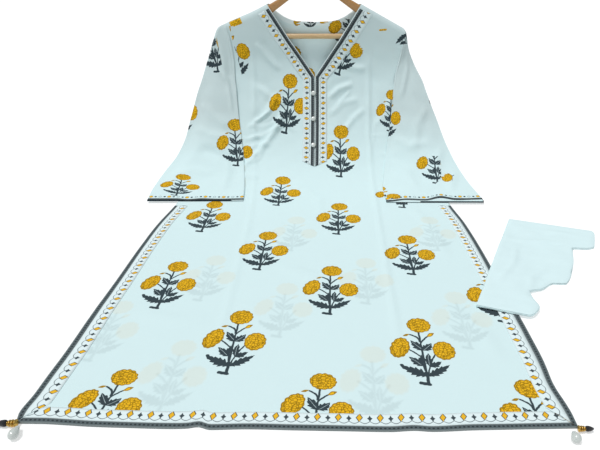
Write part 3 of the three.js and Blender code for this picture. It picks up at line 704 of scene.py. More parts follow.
# %% [markdown]
# The cuffs carry a thinner border than the hem: a row of small hearts, dots and rings a finger's width
# above a narrow charcoal edge. The sleeve remembers how far each point is from the cuff, and the row
# is drawn from that. The edge is bound on both faces, so the far layer shows its dark line too.

# %% The cuff's marks
CUFF_STEP = 3.5             # centimetres from heart to heart


def mark_cuff(finish, flat):
    along, _, up = coordinates(finish.tree, flat)
    u = ((along + 250.0) * (1 / CUFF_STEP)).math("FRACT").math("MULTIPLY_ADD", CUFF_STEP, -CUFF_STEP / 2)
    v = up - 1.05
    heart = (u * u + v * v).math("SQRT").from_(0.34)
    dot_u = u.size() - CUFF_STEP / 4
    dot = (dot_u * dot_u + v * v).math("SQRT").from_(0.22)
    ring_u = u.size().from_(CUFF_STEP / 2)
    ring = ((ring_u * ring_u + v * v).math("SQRT") - 0.24).size().from_(0.07)
    finish.lay(MUSTARD, heart.edge(0.08).socket)
    finish.lay(CHARCOAL, heart.size().from_(0.05).edge(0.06).socket, 0.6)
    finish.lay(CHARCOAL, dot.edge(0.06).socket)
    finish.lay(CHARCOAL, ring.edge(0.05).socket, 0.5)
    finish.lay(CHARCOAL, up.from_(0.4).edge(0.05).socket)


# %% [markdown]
# ## Creases
# A crease in hanging cotton is a soft ridge with a shallow trough beside it, which starts and ends in
# nothing. Each is listed as a path over the flat cloth, a width and a height. Low waves in many
# directions under them keep the cloth between the creases from looking ironed to a board.

# %% A crease
def crease(x, y, path, width, height):
    """The lift of one crease at points in millimetres. path is in centimetres on the flat cloth."""
    path = np.array(path, float) * 10
    steps = np.linalg.norm(np.diff(path, axis=0), axis=1)
    nearest, hand, share = np.full(np.shape(x), 1e9), np.zeros(np.shape(x)), np.zeros(np.shape(x))
    done = 0.0
    for start, end, step in zip(path[:-1], path[1:], steps):
        way = (end - start) / step
        gone = np.clip((x - start[0]) * way[0] + (y - start[1]) * way[1], 0, step)
        dx, dy = x - start[0] - gone * way[0], y - start[1] - gone * way[1]
        gap = np.hypot(dx, dy)
        closer = gap < nearest
        nearest = np.where(closer, gap, nearest)
        hand = np.where(closer, np.sign(way[0] * dy - way[1] * dx), hand)
        share = np.where(closer, (done + gone) / steps.sum(), share)
        done += step
    off = nearest * hand
    shape = np.exp(-((off / width) ** 2)) - 0.45 * np.exp(-(((off - 1.7 * width) / (1.5 * width)) ** 2))
    return height * shape * ease(share, 0, 0.22) * (1 - ease(share, 0.78, 1))


def waves(x, y, seed, count, shortest, longest, height):
    pick = np.random.default_rng(seed)
    total = 0 * x
    for _ in range(count):
        angle, length, phase = pick.uniform(0, math.pi), pick.uniform(shortest, longest), pick.uniform(0, 6.3)
        total = total + np.sin((x * math.cos(angle) + y * math.sin(angle)) * 2 * math.pi / length + phase)
    return total * height / math.sqrt(count)


def creased(x, y, creases):
    return sum(crease(x, y, path, width, height) for path, width, height in creases)


# %% Where the front creases
FRONT_CREASES = [
    # the two long pressed lines
    ([(-13.2, 97), (-13.0, 88), (-12.6, 72), (-11.6, 55), (-11.1, 45), (-10.7, 23), (-10.6, 3)], 5.5, 1.3),
    ([(11.2, 95), (11.3, 86), (11.5, 72), (12.0, 55), (12.0, 35), (12.0, 5)], 5.0, 1.9),
    # drawn folds that fan out of the left end of the bust seam
    ([(-15.2, 71.5), (-11.1, 72.7), (-6.3, 75.3), (-3.4, 73.0)], 4.1, 2.6),
    ([(-15.5, 64.5), (-12.0, 68.5), (-8.5, 73.5), (-6.3, 79.0)], 5.8, 4.2),
    ([(-14.5, 74.0), (-10.5, 77.5), (-7.5, 82.5)], 5.4, 2.2),
    ([(-15.0, 69.0), (-12.0, 70.6), (-8.6, 70.6)], 5.0, 1.8),
    # the bust seam itself
    ([(-16.5, 72.0), (-12, 72.4), (-8.4, 72.8)], 2.2, 1.0),
    ([(11.5, 72.8), (16.4, 72.6)], 2.2, 1.0),
    # right of the placket
    ([(2.6, 80.6), (5.0, 82.8), (8.4, 84.0)], 5.4, 2.6),
    ([(5.6, 73.0), (8.0, 76.3), (10.8, 78.9)], 5.4, 2.4),
    ([(2.8, 77.0), (6.0, 79.8), (9.6, 80.8)], 6.1, 1.6),
    ([(4.5, 89.0), (7.5, 87.4), (11.0, 87.0)], 6.1, 1.5),
    # across the chest and towards the underarms
    ([(-13.0, 84.0), (-8.8, 80.5), (-5.0, 79.6)], 6.8, 2.0),
    ([(-12.5, 93.0), (-9.5, 89.0), (-7.0, 86.5)], 6.8, 1.6),
    ([(-19.0, 61.0), (-14.5, 63.3), (-10.5, 61.8)], 6.8, 2.2),
    ([(13.2, 69.5), (16.8, 66.5), (20.0, 65.5)], 5.4, 2.0),
    ([(12.6, 74.8), (15.2, 78.0), (16.4, 82.0)], 5.4, 1.8),
    # small sharp ones where the cloth is pinched
    ([(-12.5, 75.5), (-9.5, 78.0), (-8.0, 81.0)], 3.4, 2.0),
    ([(-14.5, 74.9), (-10.4, 74.6), (-7.4, 76.6)], 2.8, 1.5),
    ([(-14.0, 66.0), (-11.6, 67.2), (-10.6, 69.8)], 3.2, 1.8),
    ([(4.5, 79.2), (7.6, 82.4)], 3.2, 1.6),
    ([(12.3, 70.5), (12.7, 76.5)], 2.8, 1.5),
    # over the skirt
    ([(-24.0, 47.0), (-19.5, 43.5), (-15.5, 42.3)], 13.0, 1.4),
    ([(18.0, 53.0), (21.0, 44.0), (21.8, 32.0)], 12.0, 1.4),
    ([(-5.5, 32.0), (0.5, 28.5), (6.0, 28.0)], 14.0, 1.2),
    ([(19.0, 22.0), (23.0, 15.5), (24.0, 9.0)], 11.0, 1.2),
    ([(-23.5, 20.0), (-17.0, 17.8), (-12.0, 18.6)], 14.0, 1.2),
    ([(-2.0, 60.0), (1.0, 55.0), (1.8, 47.0)], 11.0, 1.2),
]


CALM_FROM, CALM_FALL = 942, 0.5257    # creases fade above this line, which falls with the shoulder


def front_crease(across, along):
    ripple = waves(across, along, 5, 16, 34, 110, 0.32) * (0.55 + 0.75 * ease(along, 560, 720))
    total = creased(across, along, FRONT_CREASES) * (1 + 0.8 * ease(along, 640, 720)) + ripple
    total = np.where(total < 0, total * (0.3 + 0.7 * ease(along, 700, 840)), total)
    past_neck = (np.abs(across) - 94.5) * (np.abs(across) > 94.5)
    return total * (1 - ease(along - CALM_FROM + CALM_FALL * past_neck, 0, 45) * 0.6)


print("front creases:", len(FRONT_CREASES))

# %% [markdown]
# ## Front and back
# Each panel is one sheet, cut in one with its half of the shoulders. Rows run across from the centre
# line to the side seam, closer together where the cloth bends over the hanger. The front rises off
# the back over the chest, and both meet in a soft fold on top of the hanger's arms. The placket is a
# real slit: above it the two halves are separate.

# %% The panels' sizes
SIDE_ALONG = [0, 40, 120, 190, 270, 360, 450, 525, 600, 680, 758]
SIDE_HALF = [HEM_HALF, 293, 288.5, 286, 281.5, 277.5, 270.5, 259, 252, 249, 250]
ARMHOLE_ALONG = [758, 770, 788, 812, 845, 890, 925, 955]
ARMHOLE_ACROSS = [250, 214, 187, 173, 168, 171, 176, 182]
HEM_ACROSS = [
    -291, -264, -239, -214, -177, -128, -115, -103, -90, -53, -3, 46, 96, 121, 140, 183, 233, 270, 291]
HEM_ALONG = [
    7, 6.6, 4.9, 3, 1.5, 0.1, 0.5, 2.4, -1.2, -0.3, -1.6, -2.7, -3.8, -2.3, -3.6, -1.6, -0.4, 0.4, 0.8]
HEM_FADE = 40               # rows above this height lie straight
OPEN_ALONG = [0, 16, 690, 760, 800, 840, 880, 920, 945]
OPEN_LIFT = [1.2, 2.3, 2.3, 3.2, 5, 8, 12.3, 16, 16.3]    # the front's lift before its creases
NECK_HALF, NECK_TOP, V_BOTTOM = 94.5, 1001, 854
SLIT_HALF, SLIT_END = 0.4, 657
SHOULDER_SLOPE = (NECK_TOP - 955) / (182 - NECK_HALF)
MEET, MEET_HALF, WRAP = 8.5, 0.6, 12
CLOTH = 0.8                 # the sheet's thickness here, in millimetres
print("kurti", 2 * HEM_HALF, "mm across the hem,", NECK_TOP, "mm long, neck", 2 * NECK_HALF, "mm wide")


def side(along):
    return smooth(along, SIDE_ALONG, SIDE_HALF)


def hem_along(across):
    return smooth(across, HEM_ACROSS, HEM_ALONG)


def bend(across, along):
    below = NECK_TOP - (np.abs(across) - NECK_HALF) * SHOULDER_SLOPE - along
    return np.sqrt(1 - (1 - np.clip(below / WRAP, 0, 1)) ** 2)


def front_lift(across, along):
    open_lift = smooth(along, OPEN_ALONG, OPEN_LIFT)
    turn = bend(across, along)
    return (MEET + MEET_HALF) * (1 - turn) + (open_lift + front_crease(across, along)) * turn


# %% Panel rows
def rows_between(table, count):
    """Rows (in across, in along, out across, out along) drawn smoothly through a short table of them."""
    at = np.linspace(0, len(table) - 1, count)
    return np.stack([smooth(at, range(len(table)), column) for column in np.array(table, float).T], axis=-1)


def skirt_rows(step):
    along = np.arange(0, 758, step, dtype=float)
    return np.stack([np.where(along > SLIT_END, SLIT_HALF, 0), along, side(along), along], axis=-1)


def seam_shift(sign, along):
    """How far the armhole seam lies outside its drawn place on each side."""
    return (7.0 if sign > 0 else -2.0) * ease(along, 845, 905) * (1 - ease(along, 930, 954))


def panel_grid(rows, columns, sign, lift, turned):
    t = np.linspace(0, 1, columns + 1)[None, :]
    outer = rows[:, 2:3] + seam_shift(sign, rows[:, 3:4])
    across = rows[:, 0:1] * (1 - t) + outer * t
    along = rows[:, 1:2] * (1 - t) + rows[:, 3:4] * t
    across = across * sign
    along = along + hem_along(across) * np.clip(1 - along / HEM_FADE, 0, 1)
    flat = np.stack([across / 10, along / 10, 0 * along], axis=-1)
    return place(across, along, lift(across, along)), flat, turned


def flat_area(grids):
    """The area of flat cloth that the grids stand for, in square metres."""
    total = 0.0
    for _, flat, _ in grids:
        a, b, c, d = flat[:-1, :-1], flat[:-1, 1:], flat[1:, 1:], flat[1:, :-1]
        u, v = c - a, d - b
        total += np.abs(u[..., 0] * v[..., 1] - u[..., 1] * v[..., 0]).sum() / 2
    return total / 1e4


def dress(piece, material, slot, *nodes):
    piece.data.materials.append(material)
    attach(piece, "root")
    if nodes:
        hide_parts(*nodes)


# %% Front
# rows of the bodice: how far along each one starts, at the slit or neck, and ends, at the armhole
FRONT_BODICE = [
    (758, 758), (772, 770), (792, 788), (820, 812), (854, 845), (885, 870), (920, 895), (955, 920),
    (989, 943)]
UPPER = [
    (990, 944), (992, 946), (994, 948), (996, 950), (997.5, 951.5), (999, 953), (1000.2, 954.2), (1001, 955)]


def neck_edge(along):
    return SLIT_HALF + (NECK_HALF - SLIT_HALF) * np.clip((along - V_BOTTOM) / (NECK_TOP - V_BOTTOM), 0, 1)


def front_rows():
    inner = np.concatenate([np.arange(758, 989, 4.0), [row[0] for row in UPPER]])
    outer = np.concatenate([smooth(np.arange(758, 989, 4.0), *zip(*FRONT_BODICE)), [row[1] for row in UPPER]])
    bodice = np.stack([neck_edge(inner), inner, smooth(outer, ARMHOLE_ALONG, ARMHOLE_ACROSS), outer], axis=-1)
    return np.concatenate([skirt_rows(4.0), bodice])


front_grids = [panel_grid(front_rows(), 70, sign, front_lift, sign < 0) for sign in (1, -1)]
front = cloth_mesh("kurti_front", front_grids, CLOTH)
ONLY_BLOOM = (-9, 9, 8.25, 20)
RIGHT_FRAGMENT = sprig((17.9, 93.5), 177.0, (1.75, 1.4), 0.85, 0.9, keep=(0.2, 3.4, 0.1, 2.7))
FRONT_SPRIGS = [
    sprig((-18.8, 47.8)), sprig((4.7, 47.0)), sprig((-7.5, 35.8)), sprig((15.9, 34.5)), sprig((-20.3, 26.1)),
    sprig((3.3, 24.8)), sprig((26.5, 23.1), keep=(-9, 9, -9, 8.2)), sprig((-8.7, 13.5)), sprig((14.6, 11.8)),
    sprig((-6.55, 57.25), 6.0, SPRIG_MIDDLE, 1.0, 0.84),
    # the hem cuts these
    sprig((-20.24, 7.25), 11.0, TOP_BLOOM, 1.0, 0.87), sprig((2.6, 6.6), 11.0, TOP_BLOOM, 1.0, 0.87),
    sprig((25.95, 5.45), 11.0, TOP_BLOOM, 1.03, 0.95),
    # on the chest and beside the neck
    sprig((-5.24, 84.43), 7.6, TOP_BLOOM, 1.0, 1.06),
    sprig((5.51, 73.49), 3.8, TOP_BLOOM, 1.0, 1.03),
    sprig((5.12, 86.01), 14.5, FOOT),
    sprig((16.25, 81.5), 6.0, TOP_BLOOM, 0.78, 0.74),
    sprig((-14.13, 68.93), -2.0, RIGHT_BLOOM, 0.9, 0.9, keep=(0.6, 9, 3.1, 20)),
    sprig((17.1, 51.8), 5.0, FOOT, keep=(-1.0, 1.2, -9, 9)),
    sprig((13.0, 56.7), 0.0, LEFT_BLOOM, 0.8, 0.62, keep=(-9, -1.5, 3.2, 7)),
    # the shoulders cut these
    sprig((-14.85, 90.65), -12.0, RIGHT_BLOOM, keep=(1.15, 9, -9, 20)),
    sprig((-15.85, 96.05), 152.3, TOP_BLOOM, 1.0, 1.0, keep=(-1.3, 1.3, 9.15, 10.25)),
    sprig((14.0, 95.26), -3.0, RIGHT_BLOOM, keep=(1.9, 3.5, 4.8, 5.18)),
    RIGHT_FRAGMENT,
]
FRONT_GHOSTS = [
    sprig(spot) for spot in (
        (-14.8, 27.9), (-3.1, 20.1), (-25.4, 15.7), (-14.9, 7.4), (8.6, 27.1), (20.7, 17.9), (8.3, 6.2),
        (20.7, 41.4), (-3.0, 41.5))
]
print_sprigs(front, "sprig_at", FRONT_SPRIGS)
print_sprigs(front, "ghost_at", FRONT_GHOSTS)
# the front's cotton gets painted shade high on its chest
dress(front, cotton("printed cotton", painted_shade=(0.12, 0.2)), "cotton", "front")
front_area = flat_area(front_grids)
print("front flat area", round(front_area, 4))

# %% [markdown]
# The back panel hangs behind. Only its inside shows through the neck, but from behind it is the whole
# dress, so it gets creases of its own where it hangs free, and the same printed sprigs in a regular
# half-drop. Below the bend it lies on the rest, flat.

# %% Back
BACK_ROWS = [
    (0, 758, 250, 758), (0, 780, 214, 770), (0, 808, 187, 788), (0, 840, 173, 812), (0, 885, 168, 845),
    (0, 930, 169.5, 875), (0, 965, 172.3, 900), (36, 967, 174.6, 915), (58, 974, 176.5, 928),
    (74, 984, 178.4, 937), (84, 992, 179.5, 943), (86.5, 996.5, 180.4, 948), (89.6, 999.8, 181.4, 952),
    (92.6, 1001.2, 181.8, 954.2), (94.5, 1001, 182, 955),
]
BACK_CREASES = [
    ([(-12.5, 94), (-12.0, 80), (-11.2, 66)], 5.5, 1.6),
    ([(11.5, 95), (11.6, 82), (12.0, 64)], 5.0, 1.9),
    ([(-15.0, 71.0), (-9.0, 74.5), (-2.5, 73.0)], 9.0, 2.6),
    ([(15.5, 68.0), (9.0, 73.0), (4.0, 79.0)], 9.5, 3.2),
    ([(-13.5, 86.0), (-6.0, 82.0), (1.0, 83.0)], 11.0, 2.2),
    ([(4.0, 92.5), (9.0, 88.0), (14.0, 87.5)], 10.0, 1.8),
    ([(-20.0, 69.0), (-15.0, 66.5), (-8.0, 67.0)], 10.0, 2.0),
]

BACK_ALONG = [690, 758, 790, 815, 845, 880, 915]
BACK_LIFT = [0, 0.8, 2, 3.6, 5.6, 2.4, 0]
BACK_ROOM = 1.5             # where nothing holds it, the back hangs this much further behind


def back_lift(across, along):
    drawn = smooth(along, BACK_ALONG, BACK_LIFT)
    rest = drawn * np.minimum(1, 2 * (across / side(np.minimum(along, 758))) ** 2)
    free = ease(along, 640, 720) * (1 - ease(np.abs(across), 140, 175))
    creases = creased(across, along, BACK_CREASES) + waves(across, along, 9, 14, 40, 120, 0.45)
    loose = free * (BACK_ROOM + creases)
    turn = bend(across, along)
    return (MEET - MEET_HALF) * (1 - turn) + (rest - np.maximum(loose, -0.2)) * turn


SPRIG_COLUMN, SPRIG_REPEAT = 12.0, 22.0    # centimetres from sprig to sprig, across and along


def lattice(start, columns, low, high, lean):
    """Sprigs in columns, every second column moved by half a repeat."""
    spots = []
    for column in range(columns):
        y = low + (SPRIG_REPEAT / 2 if column % 2 else 0.0)
        while y < high:
            spots.append((start + SPRIG_COLUMN * column, y))
            y += SPRIG_REPEAT
    return [sprig(spot, lean) for spot in spots]


back_rows = np.concatenate([skirt_rows(8.0), rows_between(BACK_ROWS, 57)])
back_rows[:, 0] = np.where(back_rows[:, 1] < 760, 0, back_rows[:, 0])
back_rows[0, [1, 3]] = 2.0                # its hem stays hidden behind the front's
back_grids = [panel_grid(back_rows, 36, sign, back_lift, sign > 0) for sign in (1, -1)]
back = cloth_mesh("kurti_back", back_grids, CLOTH)
BACK_SPRIGS = [one for one in lattice(-23.0, 5, 6.0, 92.0, -3) if not (abs(one[0]) < 12 and one[1] > 78)]
BACK_SPRIGS += [
    # in and beside the neck's opening
    sprig((4.25, 95.6), 2.0, LEFT_BLOOM, 1.1, 0.72, keep=(-9, 9, -9, 7.4)),
    sprig((-1.35, 85.8), -3.5, RIGHT_BLOOM),
    sprig((-0.87, 96.1), 0.0, (0.3, 1.5), 0.45, 0.45, keep=(-9, 9, 0.3, 2.6)),
    sprig((-3.55, 96.6), 180.0, TOP_BLOOM, 0.5, 0.55, ONLY_BLOOM),
    sprig((2.0, 96.4), 180.0, TOP_BLOOM, 0.58, 0.6, ONLY_BLOOM),
]
print_sprigs(back, "sprig_at", BACK_SPRIGS)
dress(back, cotton("back cotton", white=(0.75, 0.90, 0.92, 1), ghosts=False, facing=True), "cotton", "back")
back_area = flat_area(back_grids)
print("back flat area", round(back_area, 4))

# %% [markdown]
# ## Sleeves
# Each sleeve is one piece folded at its outer edge. Above the underarm its two long edges are sewn to
# the front and back armhole; below it they are sewn to each other. So the mesh is one strip of cloth
# that runs over the top layer, round the fold and back underneath, row after row from the shoulder to
# the cuff, and its flat coordinate is the cloth's own, unrolled.

# %% The sleeves' table
CUFF_ALONG = 544
SLEEVE_ALONG = [CUFF_ALONG, 575, 605, 640, 680, 720, 758, 795, 825, 851, 880, 908, 931, 943, 954]
SLEEVE_INNER = [133, 135, 138, 142, 147, 153, 159, 163, 166, 169.5, 171, 174, 177.5, 180.4, 182.6]
SLEEVE_OUTER = {
    -1: [317, 318, 314, 304, 285, 271, 263, 255, 247, 239, 229, 217, 207, 199, 184],
    1: [325, 318, 309, 298, 284, 270, 258, 246, 235, 226.5, 209.5, 196.5, 191.5, 188.5, 183.6],
}
OUTER_ALONG = [543, 575, 605, 640, 680, 720, 758, 790, 820, 845, 880, 912, 935, 947, 954]
SLEEVE_FRONT = [7.2, 7.6, 8.2, 9, 10, 11, 12, 13, 13.4, 13.4, 14, 15.8, 16.3, 15.5, 9.4]
SLEEVE_BACK = [3, 3, 3, 3, 3, 3.4, 4.4, 6.6, 8.8, 8.4, 2.4, 0, 0, 1.2, 7.6]
SLEEVE_CLOSED = [1, 1, 1, 1, 1, 1, 1, 1, 1, 0.3, 0, 0, 0, 0, 0]
CUFF_DROP = {-1: 3.0, 1: 8.5}    # the under layer hangs this much lower
CUFF_SWAY = {
    -1: ([133, 190, 215, 240, 262, 290, 317], [1, -1, 0, -2.5, 0, 0, 1]),
    1: ([133, 146, 178, 214, 245, 273, 309, 325], [-8, -7, 0, -2, 8, 0, 2, 3]),
}
CUFF_OUT = {-1: 0.0, 1: 6.0}     # the cuff's inner corner lies this much further out
SEAM_OVERLAP = 2.6               # the sleeve's head starts this far inside the seam's drawn place
TOP_COLUMNS, FOLD_COLUMNS = 52, 10
print("sleeves", SLEEVE_ALONG[-1] - CUFF_ALONG, "mm long")

SLEEVE_CREASES = {
    -1: [
        ([(-21.5, 88.5), (-18.4, 84.6), (-17.2, 77.0)], 5.0, 3.0),
        ([(-24.5, 69.8), (-19.0, 67.8), (-14.6, 65.6)], 11.0, -3.6),
        ([(-24.5, 80.5), (-21.0, 76.5), (-17.5, 74.0)], 9.0, 2.6),
        ([(-26.0, 74.5), (-22.0, 72.6), (-16.5, 71.6)], 8.0, 2.2),
        ([(-29.5, 62.0), (-25.0, 63.8), (-20.0, 62.8)], 10.0, 1.8),
        ([(-20.0, 92.5), (-19.0, 89.0), (-18.8, 83.0)], 6.0, 1.6),
        ([(-18.0, 70.0), (-17.4, 63.0), (-18.0, 57.0)], 8.0, 1.5),
    ],
    1: [
        ([(19.6, 92.8), (19.4, 87.0), (18.0, 80.0)], 5.0, 2.6),
        ([(24.5, 80.5), (21.5, 75.0), (20.6, 68.0)], 9.0, 2.6),
        ([(16.2, 72.5), (19.5, 70.0), (24.5, 70.8)], 9.0, 2.4),
        ([(27.5, 71.0), (25.0, 66.5), (24.8, 60.0)], 9.0, 2.2),
        ([(15.4, 67.5), (19.0, 63.0), (20.5, 57.5)], 10.0, 2.0),
        ([(29.8, 65.0), (27.6, 61.0), (26.6, 57.0)], 8.0, 1.6),
    ],
}


# %% The sleeve's section
def sleeve_row(sign, along):
    table = {"inner": SLEEVE_INNER, "outer": SLEEVE_OUTER[sign], "outer_along": OUTER_ALONG}
    table.update(front=SLEEVE_FRONT, back=SLEEVE_BACK, closed=SLEEVE_CLOSED)
    row = {key: smooth(along, SLEEVE_ALONG, column) for key, column in table.items()}
    row["inner"] = row["inner"] - SEAM_OVERLAP * ease(along, 800, 870) + seam_shift(sign, along)
    row["inner"] = row["inner"] + CUFF_OUT[sign] * (1 - ease(along, CUFF_ALONG, 590))
    return row


def sleeve_space(row, along, from_inner, from_outer):
    """How far apart the sleeve's two layers lie: sewn shut inside, folded outside, pressed at the cuff."""
    full = row["front"] - row["back"]
    seam = ease(from_inner, 0, 55) * row["closed"] + (1 - row["closed"])
    fold = ease(from_outer, 0, 40) + (1 - ease(from_outer, 0, 40)) * 0.75 * ease(along, 780, 930)
    cuff = 0.15 + 0.85 * ease(along, CUFF_ALONG, 650)
    return 1.5 + (full - 1.5) * seam * fold * cuff


def sleeve_top(sign, across, along):
    """Lift of the sleeve's top layer at points across (always positive) and along."""
    row = sleeve_row(sign, along)
    lift = row["back"] + sleeve_space(row, along, across - row["inner"], row["outer"] - across)
    room = np.maximum(lift - row["back"] - 1.4, 0)
    weight = ease(across - row["inner"], 1, 14) * ease(row["outer"] - across, 2, 25)
    shape = creased(sign * across, along, SLEEVE_CREASES[sign])
    shape = shape + waves(sign * across, along, 21 + sign, 14, 30, 90, 0.42)
    lift = lift + np.maximum(shape, -0.8 * room) * weight
    on_front = front_lift(sign * across, along) + 0.45
    sewn = (1 - row["closed"]) * (1 - ease(across - row["inner"], 1, 9))
    seam = 1.5 * np.exp(-(((across - row["inner"] - 2.6) / 1.7) ** 2)) * (1 - row["closed"])
    return lift * (1 - sewn) + on_front * sewn + seam * (1 - ease(along, 930, 950))


# %% A sleeve
def sleeve_grid(sign):
    along = np.concatenate([np.arange(CUFF_ALONG, 930, 4.0), np.arange(930, 954.1, 2.0)])[:, None]
    row = sleeve_row(sign, along)
    width = row["outer"] - row["inner"]
    s = np.linspace(0, 1, TOP_COLUMNS)[None, :]
    radius = sleeve_space(row, along, width, 0 * width) / 2
    top_across = row["inner"] + s * (width - radius)
    skew = (row["outer_along"] - along) * s
    top_lift = sleeve_top(sign, top_across, along)
    under = waves(sign * top_across, along, 31 + sign, 12, 40, 110, 0.3) * ease(along, 600, 700)
    under_lift = row["back"] + np.minimum(under, 0.3) * (1 - ease(s, 0.9, 1)) * ease(s, 0, 0.1)
    open_edge = (1 - row["closed"]) * (1 - ease(s, 0, 0.2))
    under_lift = under_lift * (1 - open_edge) + (back_lift(top_across, along) - 0.3) * open_edge
    angle = np.linspace(math.pi / 2, -math.pi / 2, FOLD_COLUMNS)[None, 1:-1]
    fold_across = row["outer"] - radius * (1 - np.cos(angle))
    upper, lower = top_lift[:, -1:], under_lift[:, -1:]
    fold_lift = (upper + lower) / 2 + (upper - lower) / 2 * np.sin(angle)
    across = np.concatenate([top_across, fold_across, top_across[:, ::-1]], axis=1)
    lift = np.concatenate([top_lift, fold_lift, under_lift[:, ::-1]], axis=1)
    skew = np.concatenate([skew, skew[:, -1:] + 0 * fold_across, skew[:, ::-1]], axis=1)
    under_share = np.concatenate([0 * s[0], np.linspace(0, 1, FOLD_COLUMNS)[1:-1], 0 * s[0] + 1])[None, :]
    drop = under_share * CUFF_DROP[sign] * (1 - ease(along, CUFF_ALONG, 580))
    sway = smooth(across, *CUFF_SWAY[sign]) * (1 - under_share) * (1 - ease(along, CUFF_ALONG, 610))
    high = along + skew - drop + sway
    points = place(sign * across, high, lift)
    around = across / 10
    step = np.linalg.norm(np.diff(points, axis=1), axis=2) * 100
    last = TOP_COLUMNS - 1
    around[:, TOP_COLUMNS:] = around[:, last:][:, :1] + np.cumsum(step[:, last:], axis=1)
    edge = high - sway - (CUFF_ALONG - under_share * CUFF_DROP[sign])
    flat = np.stack([around * sign, high / 10, edge / 10 + 20 * under_share * (edge > 4)], axis=-1)
    return points, flat, sign < 0


SLEEVE_SPRIGS = {
    -1: [
        sprig((-16.74, 74.94), -2.0, TOP_BLOOM, 1.0, 0.9, keep=(-9, 1.6, -9, 20)),
        sprig((-26.25, 61.75), 10.0, TOP_BLOOM, 1.02, 0.54),
        sprig((-25.8, 77.6), 8.0, RIGHT_BLOOM, 0.8, 1.0),
        sprig((-20.3, 86.6), -8.0, FOOT, 0.95, 0.95, keep=(-9, 1.6, -9, 7.6)),
    ],
    1: [
        sprig((22.09, 65.77), 5.0, LEFT_BLOOM, 0.95, 0.93, keep=(-9, 1.35, -9, 7.2)),
        sprig((26.7, 61.77), 200.0, RIGHT_BLOOM, 0.82, 0.8, keep=(1.2, 9, 3.2, 6.8)),
        sprig((17.02, 76.4), 6.0, RIGHT_BLOOM, 0.76, 0.9),
        sprig((15.5, 55.6), 0.0, RIGHT_BLOOM, 1.0, 0.62),
        sprig((24.3, 79.9), 12.0, (-2.4, 1.7), keep=(-9, 9, -9, 3.2)),
        RIGHT_FRAGMENT,
    ],
}
SLEEVE_HIDDEN = [(37.5, 66.0), (46.5, 60.5), (39.0, 84.0), (48.0, 79.5), (31.5, 75.0)]
# the sleeves' cotton gets painted shade where they hang high
sleeve_paint = cotton("sleeve cotton", painted_shade=(0.34, 0.03), ghosts=False, cuff=True)
sleeves, sleeve_area = {}, {}
for label, sign in (("left", -1), ("right", 1)):
    grid = sleeve_grid(sign)
    sleeves[label] = cloth_mesh("sleeve_" + label + "_cloth", [grid], CLOTH)
    hidden = [sprig((sign * x, y), 4) for x, y in SLEEVE_HIDDEN]
    print_sprigs(sleeves[label], "sprig_at", SLEEVE_SPRIGS[sign] + hidden)
    dress(sleeves[label], sleeve_paint, "cotton", "sleeve_" + label)
    sleeve_area[label] = flat_area([grid])
print("sleeve flat areas", {k: round(v, 4) for k, v in sleeve_area.items()})

# %% [markdown]
# ## Borders
# The borders are strips cut from a printed cloth and sewn on top of the panels: a white band with the
# vine, and a charcoal tape outside it. They are made from the front's own surface, moved out by a
# layer, so that they follow its creases. Each strip remembers how far along and how far in it is.

# %% Strip of cloth on the front
def strip_mesh(name, across, along, run, inward, lift, turned, thickness=0.45):
    """Arrays rows x columns on the front; run and inward are the strip's own coordinates in mm.
    Where inward is below 0 the strip turns down over the edge, to its underside."""
    height = np.where(inward < 0, WRAP_LIFT, front_lift(across, along) + lift)
    points = place(across, along, height)
    flat = np.stack([run / 10, inward / 10, 0 * run], axis=-1)
    return cloth_mesh(name, [(points, flat, turned)], thickness), [(points, flat, turned)]


BAND_WHITE = (0.76, 0.87, 0.885, 1)
TAPE_GREY = (0.085, 0.112, 0.122, 1)
TAPE_DASH = (0.012, 0.017, 0.021, 1)
TAPE_EDGE = (0.30, 0.34, 0.34, 1)


def band_paint(name, bud_height, cross, vine, white=BAND_WHITE):
    finish, flat, weave = woven(name, white)
    finish.lay(COTTON_THIN, weave["Streak"], 0.15)
    marks = finish.group(vine_group, Strip=flat, Bud_height=bud_height, Cross=cross, Vine=vine)
    finish.lay(CHARCOAL, marks["Line"], 0.85)
    finish.lay(MUSTARD, marks["Bud"], 0.97)
    finish.lay(CHARCOAL, marks["Dark"], 0.95)
    finish.bump(weave["Height"], 0.00012, 0.35)
    return finish.done()


def tape_paint(name, width, grey, edge=0.55, dash=TAPE_DASH):
    finish, flat, weave = woven(name, grey, 20.0)
    dashes = finish.group(tape_group, Strip=flat, Width=width)
    finish.lay(TAPE_EDGE, dashes["Edge"], edge)
    finish.lay(dash, dashes["Dash"], 0.95)
    finish.lay(TAPE_EDGE, weave["Streak"], 0.12)
    finish.bump(weave["Height"], 0.00015, 0.4)
    return finish.done()


# %% Hem
TAPE, HEM_BORDER, BORDER = 5.8, 21.0, 24.5   # the tape's width, and the whole border's at hem and slits
GAP = 0.3                   # clear space where two pieces meet
STRIP_LIFT = 0.55           # the strips lie this high on the front
VINE_SHIFT = 6.8            # how far the vine is moved along the hem
WRAP_IN, WRAP_LIFT = -0.3, 0.3   # a tape turns down this far past its edge, to this lift


def hem_strip(name, start, end, rows):
    up = np.linspace(start, end, rows)[:, None]
    if start == 0:
        up = np.concatenate([[[WRAP_IN]], up])
    across = (side(up) - np.maximum(up, 0) - GAP) * np.linspace(-1, 1, 161)[None, :]
    run = across + VINE_SHIFT
    return strip_mesh(name, across, hem_along(across) + up, run, up + 0 * across, STRIP_LIFT, False)


hem_paint = band_paint("vine band", 1.58, 0.30, 0.9)
slit_paint = band_paint("side vine band", 1.86, 0.30, 0.9)
tape_finish = tape_paint("charcoal tape", TAPE / 10, TAPE_GREY)
hem_band, hem_band_grid = hem_strip("hem_band_cloth", TAPE, HEM_BORDER, 6)
hem_tape, _ = hem_strip("hem_tape_cloth", 0, TAPE, 4)
dress(hem_band, hem_paint, "border_cotton", "hem_band")
dress(hem_tape, tape_finish, "charcoal_cotton", "hem_tape")

